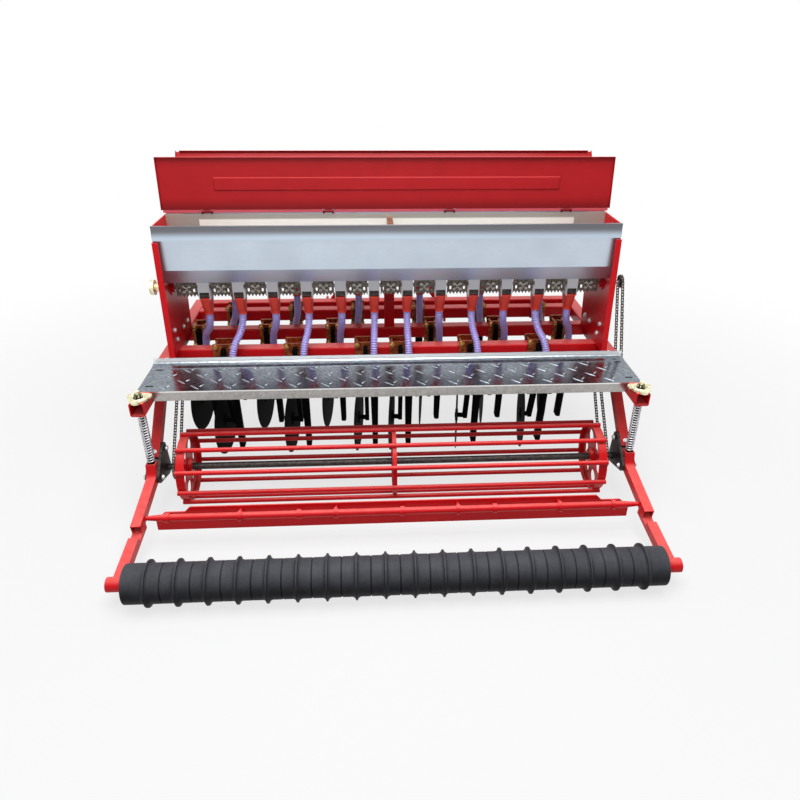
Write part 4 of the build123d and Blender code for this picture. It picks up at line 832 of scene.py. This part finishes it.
def facing(place, normal, turn=0.0):
    """Matrix that stands a part's Z axis along a normal, turned about it."""
    standing = Vector(normal).to_track_quat("Z", "Y").to_matrix().to_4x4()
    return Matrix.Translation(Vector(place) * MM) @ standing @ Matrix.Rotation(turn, 4, "Z")


def scatter(name, slot, finish, master, places):
    """Copies of one small part at places (point, normal), each turned a little further, joined into one."""
    copies = [copy_to(master, facing(point, normal, 0.37 * i)) for i, (point, normal) in enumerate(places)]
    bpy.data.objects.remove(master)
    made = joined(copies, name)
    bpy.ops.object.shade_smooth_by_angle(angle=math.radians(35))
    dress(made, name, slot, finish)


# toolbar's rear face Y, half the nuts' spacing, rows, pitch in rows, clamp's offset from its row, and which
# of the staggered rows it carries
TOOLBARS = [(154, 40, ROWS, 1, 38, (1,)), (391, 24, ROWS, 1, 38, (0,)), (646, 24, FERT_ROWS, 2, 0, (0, 1))]
CLAMP_NUT_Z = (495, 583)
CHEEK, CLAMP_DEPTH = 8, 68


def make_clamp_nuts():
    """Four hexagon nuts on each clamp's two cheeks."""
    places = []
    for face, half, rows, every, offset, ranks in TOOLBARS:
        for i in range(rows):
            if min(i, ROWS - 1 - i) % 2 not in ranks:
                continue
            middle = row_x(i, rows, ROW_PITCH * every) - offset
            for x in (middle - half, middle + half):
                for z in CLAMP_NUT_Z:
                    places += [((x, face - CHEEK, z), BACK), ((x, face + CLAMP_DEPTH, z), AHEAD)]
    scatter("clamp_nuts", "yellow_zinc", "bolt", bolt_head(19, 10, washer=26), places)


# bolts on one side of the machine, mirrored on the other: X, then (Y, Z) of each
BRACKET_X, BRACKET_BACK_X, BRACKET_BOLTS = 1067, 995, ((-225, 275), (-329, 194))
FOOT_X, FOOT_Z, FOOT_BOLT_YS = 1012, 573, (40, 150, 260, 370)
END_PLATE_X, END_PLATE_BOLTS = 983, ((150, 625), (270, 640), (128, 680), (345, 640))
SEAM_X, SEAM_Z, SEAM_BOLT_YS = 991, 1120, (110, 400)
ARM_X = 1034
# place on the press arm (Y, Z) and the normal of its face there
ARM_RIVETS = [((-348, 206), (0, -0.97, 0.23)), ((-259, 277), (0, -0.67, 0.745))]


def make_plate_bolts():
    """White-plated bolts of the brackets, end plates and box seams, and rivets on the press arms."""
    places = []
    for side, out, inward in ((-1, LEFT, RIGHT), (1, RIGHT, LEFT)):
        for y, z in BRACKET_BOLTS:
            places += [((side * BRACKET_X, y, z), out), ((side * BRACKET_BACK_X, y, z), inward)]
        places += [((side * FOOT_X, y, FOOT_Z), UP) for y in FOOT_BOLT_YS]
        places += [((side * END_PLATE_X, y, z), inward) for y, z in END_PLATE_BOLTS]
        places += [((side * SEAM_X, y, SEAM_Z), out) for y in SEAM_BOLT_YS]
    scatter("white_bolts", "bright_steel", "white_bolt", bolt_head(16, 8, washer=24), places)
    rivets = [((x, y, z), normal) for x in (-ARM_X, ARM_X) for (y, z), normal in ARM_RIVETS]
    scatter("arm_rivets", "bright_steel", "white_bolt", bolt_head(19, 5, sides=24), rivets)


# ------------------------------------------------------------------ step board
BOARD_TOP = 572
TREAD_PITCH, TREAD_ROW = 135, 52
TREAD_FIRST_Y, TREAD_LAST_Y, TREAD_REACH = -222, -60, 1000
# pairs on each side of the middle one, and how far left of the board's middle that one lies
TREAD_PAIRS, TREAD_LEFT = 8, 11
MARK_HALF_WIDE, MARK_TALL = 4.5, 2.2
# of each mark of a pair: offset from the pair's middle, length, angle in degrees
TREAD_MARKS = [((-9, -7), 56, -42), ((18, 8), 27, 52)]


def make_tread():
    """Raised marks of the checker plate, in staggered rows of pairs: slim domes cut flat below."""
    bars = []
    for length in (mark[1] for mark in TREAD_MARKS):
        bpy.ops.object.select_all(action="DESELECT")
        bpy.ops.mesh.primitive_uv_sphere_add(segments=12, ring_count=6, radius=1, location=(0, 0, 0),
                                             scale=Vector((length / 2, MARK_HALF_WIDE, MARK_TALL)) * MM)
        bars.append(settle(bpy.context.object))
        cut(bars[-1], (0, 0, -0.2), (0, 0, -1), clear=True)
    marks = []
    for row, y in enumerate(range(TREAD_FIRST_Y, TREAD_LAST_Y, TREAD_ROW)):
        for k in range(-TREAD_PAIRS, TREAD_PAIRS + 1):
            x = k * TREAD_PITCH - TREAD_LEFT + row % 2 * TREAD_PITCH / 2
            if abs(x) > TREAD_REACH:
                continue
            for dome, ((dx, dy), _, angle) in zip(bars, TREAD_MARKS):
                marks.append(copy_to(dome, Matrix.Translation(Vector((x + dx, y + dy, BOARD_TOP)) * MM)
                                     @ Matrix.Rotation(math.radians(angle), 4, "Z")))
    for dome in bars:
        bpy.data.objects.remove(dome)
    made = joined(marks, "tread_marks")
    bpy.ops.object.shade_smooth()
    # the marks' bright finish is partly polished wear and partly painted highlight
    dress(made, "tread_marks", "galvanised_plate", "tread_wear_and_highlight")


# middle and size of an end of the upstand, and of the bend at its foot; point and slope of the bend's face
UPSTAND_END_X, UPSTAND_Y, UPSTAND_Z, UPSTAND_END_SIZE = 1019.5, 2.8, 584.5, (77, 3.6, 27)
BEND_PLACE, BEND_SIZE = (0, -8, 576.2), (2114, 14, 12)
BEND_FACE, BEND_SLOPE = (0, -15, 570.8), (0, -0.62, 0.78)


def make_board_ends():
    """Upstand of the step board beyond the box, out to the board's corners."""
    ends = [chamfer(block((side * UPSTAND_END_X, UPSTAND_Y, UPSTAND_Z), UPSTAND_END_SIZE), 1)
            for side in (-1, 1)]
    dress(joined(ends, "board_upstand_ends"), "board_upstand_ends", "galvanised_plate")


def make_bend():
    """Bend at the foot of the board's upstand."""
    bend = block(BEND_PLACE, BEND_SIZE)
    cut(bend, BEND_FACE, BEND_SLOPE, clear=True)
    # the bend's bright finish is a painted highlight, as where it mirrors the sky
    dress(chamfer(bend, 1.2), "upstand_bend", "galvanised_plate", "tread_wear_and_highlight")


SLOT_X, SLOT_YS = 1018, (-60, -213)
SLOT_R, SLOT_RUN, SLOT_MARK = 4, 26, 0.6


def make_board_slots():
    """Slots at the corners of the step board, drawn as thin black marks on its top: painted shade where the
    slots open.
    """
    slots = [stretched(bar((x - SLOT_RUN / 2, y, BOARD_TOP + SLOT_MARK / 2), SLOT_R, SLOT_MARK, 20), SLOT_RUN)
             for x in (-SLOT_X, SLOT_X) for y in SLOT_YS]
    dress(joined(slots, "board_slots"), "board_slots", "black_paint")


# ------------------------------------------------------------------ outlets
SLIDE_Z, SLIDE_FACE_Y = 874, 126
# a clip's leaf and its lean in degrees; a button's radius and length, and its offset from the clip's middle
LEAF_SIZE, LEAF_LEAN = (44, 3, 6), 52
BUTTON_R, BUTTON_LONG, BUTTON_DX, BUTTON_DZ = 6, 8, 14, 12
# a cut-off's body and the flutes along it
WINDOW_Z = 845
ROTOR_Y, ROTOR_SIZE = 128, (42, 3, 25)
FLUTE_Y, FLUTE_R, FLUTE_PITCH = 126.5, 3, 7


def make_clips():
    """Crossed spring clip in the middle of each gap between the outlets, with a button at each end."""
    clips = []
    for k in range(ROWS + 1):
        middle = row_x(k, ROWS + 1, METER_PITCH)
        for angle in (-LEAF_LEAN, LEAF_LEAN):
            clips.append(chamfer(block((middle, SLIDE_FACE_Y, SLIDE_Z), LEAF_SIZE, (0, angle, 0)), 1))
        for dx in (-BUTTON_DX, BUTTON_DX):
            for dz in (-BUTTON_DZ, BUTTON_DZ):
                place = (middle + dx, SLIDE_FACE_Y, SLIDE_Z + dz)
                clips.append(chamfer(bar(place, BUTTON_R, BUTTON_LONG, 14, "Y"), 1.2))
    made = joined(clips, "slide_clips")
    bpy.ops.object.shade_smooth_by_angle(angle=math.radians(35))
    dress(made, "slide_clips", "bright_steel", "clip")


def make_cut_offs():
    """Dark fluted cut-off that shows in the window of each outlet."""
    rotors = []
    for x in (row_x(i, ROWS, METER_PITCH) for i in range(ROWS)):
        rotors.append(chamfer(block((x, ROTOR_Y, WINDOW_Z), ROTOR_SIZE), 0.8))
        rotors += [chamfer(bar((x, FLUTE_Y, WINDOW_Z + dz), FLUTE_R, ROTOR_SIZE[0], 10, "X"), 0.8)
                   for dz in (-FLUTE_PITCH, 0, FLUTE_PITCH)]
    dress(joined(rotors, "cut_off_rotors"), "cut_off_rotors", "dark_steel")


# ------------------------------------------------------------------ bin and lids
RIM_LONG, RIM_FLARE = 1973.6, 4.2
SKIN_Y, SKIN_Z, SKIN_THICK, SKIN_TALL = 51.55, 1140.4, 0.7, 60
UPPER_BEND_Z, LOWER_BEND_Z = 1150, 1130
BEAD_Y, BEAD_Z, BEAD_R = 53.8, 1168.8, 2.6
HINGE_PLACES, HINGE_HALF = (-800, -270, 270, 800), 28
LID_HALF = 990
FOLD_Y, FOLD_Z, FOLD_THICK, FOLD_TALL, FOLD_LEAN = 272.6, 1181.75, 1.6, 14.5, -5
STAY_PLACE, STAY_SIZE = (0, 167, 1152), (26, 208, 4)


def make_rim():
    """Rolled rim along the rear wall: a skin on the skirt that flares out below, and a bead along its top."""
    skin = block((0, SKIN_Y, SKIN_Z), (RIM_LONG, SKIN_THICK, SKIN_TALL))
    for z in (UPPER_BEND_Z, LOWER_BEND_Z):
        cut(skin, (0, 0, z), UP)
    # both faces go out at the lower bend, and at the foot the outer one, so the inner one ends on the skirt
    move_where(skin, lambda x, y, z: z < SKIN_Z and (z > LOWER_BEND_Z - 1 or y < SKIN_Y), (0, -RIM_FLARE, 0))
    bead = bar((0, BEAD_Y, BEAD_Z), BEAD_R, RIM_LONG, 20, "X")
    rim = cap_and_smooth(joined([skin, bead], "rolled_rim"), 40)
    dress(rim, "rolled_rim", "stainless_sheet", "rim_sheet")


def make_lid_fold():
    """Fold along the foot of the rear lid, between its hinges, that turns with the lid."""
    edges = [-LID_HALF] + [x + side * HINGE_HALF for x in HINGE_PLACES for side in (-1, 1)] + [LID_HALF]
    folds = []
    for a, b in zip(edges[0::2], edges[1::2]):
        fold = block(((a + b) / 2, FOLD_Y, FOLD_Z), (b - a, FOLD_THICK, FOLD_TALL), (FOLD_LEAN, 0, 0))
        folds.append(chamfer(fold, 0.5))
    # the fold's lighter pink finish is a painted highlight
    dress(joined(folds, "lid_foot_fold"), "lid_foot_fold", "dark_red_paint", "fold_painted_highlight", "seed_lid")


def make_stay():
    """Strap that ties the two long walls of the rear bin together at the middle."""
    dress(chamfer(block(STAY_PLACE, STAY_SIZE), 1), "bin_stay", "yellow_zinc", "stay")


# ------------------------------------------------------------------ three-lobed caps
CAP_X, CAP_Y, CAP_TOP = 1032, -317, 577
CAP_RING_R, CAP_BEAD_R = 27, 3


def make_cap_details():
    """Pressed ring and dark lock nut on each cap."""
    rings, nuts = [], []
    for x in (-CAP_X, CAP_X):
        bpy.ops.object.select_all(action="DESELECT")
        bpy.ops.mesh.primitive_torus_add(major_segments=40, minor_segments=10, major_radius=CAP_RING_R * MM,
                                         minor_radius=CAP_BEAD_R * MM,
                                         location=Vector((x, CAP_Y, CAP_TOP)) * MM)
        rings.append(settle(bpy.context.object))
        cut(rings[-1], (0, 0, CAP_TOP - 1), (0, 0, -1), clear=True)
        nut = bolt_head(28, 15, washer=38)
        nut.matrix_world = facing((x, CAP_Y, CAP_TOP), UP)
        nuts.append(settle(nut))
    dress(joined(rings, "cap_rings"), "cap_rings", "yellow_zinc")
    dress(joined(nuts, "cap_nuts"), "cap_nuts", "dark_steel")


set_camera()
set_world()
set_floor()
set_lamps()
bpy.context.scene.view_settings.view_transform = "Standard"
paint_nodes()
make_hoses()
make_springs()
make_chains()
make_clamp_nuts()
make_plate_bolts()
make_tread()
make_clips()
make_cut_offs()
make_rim()
make_board_ends()
make_bend()
make_lid_fold()
make_cap_details()
make_board_slots()
make_stay()
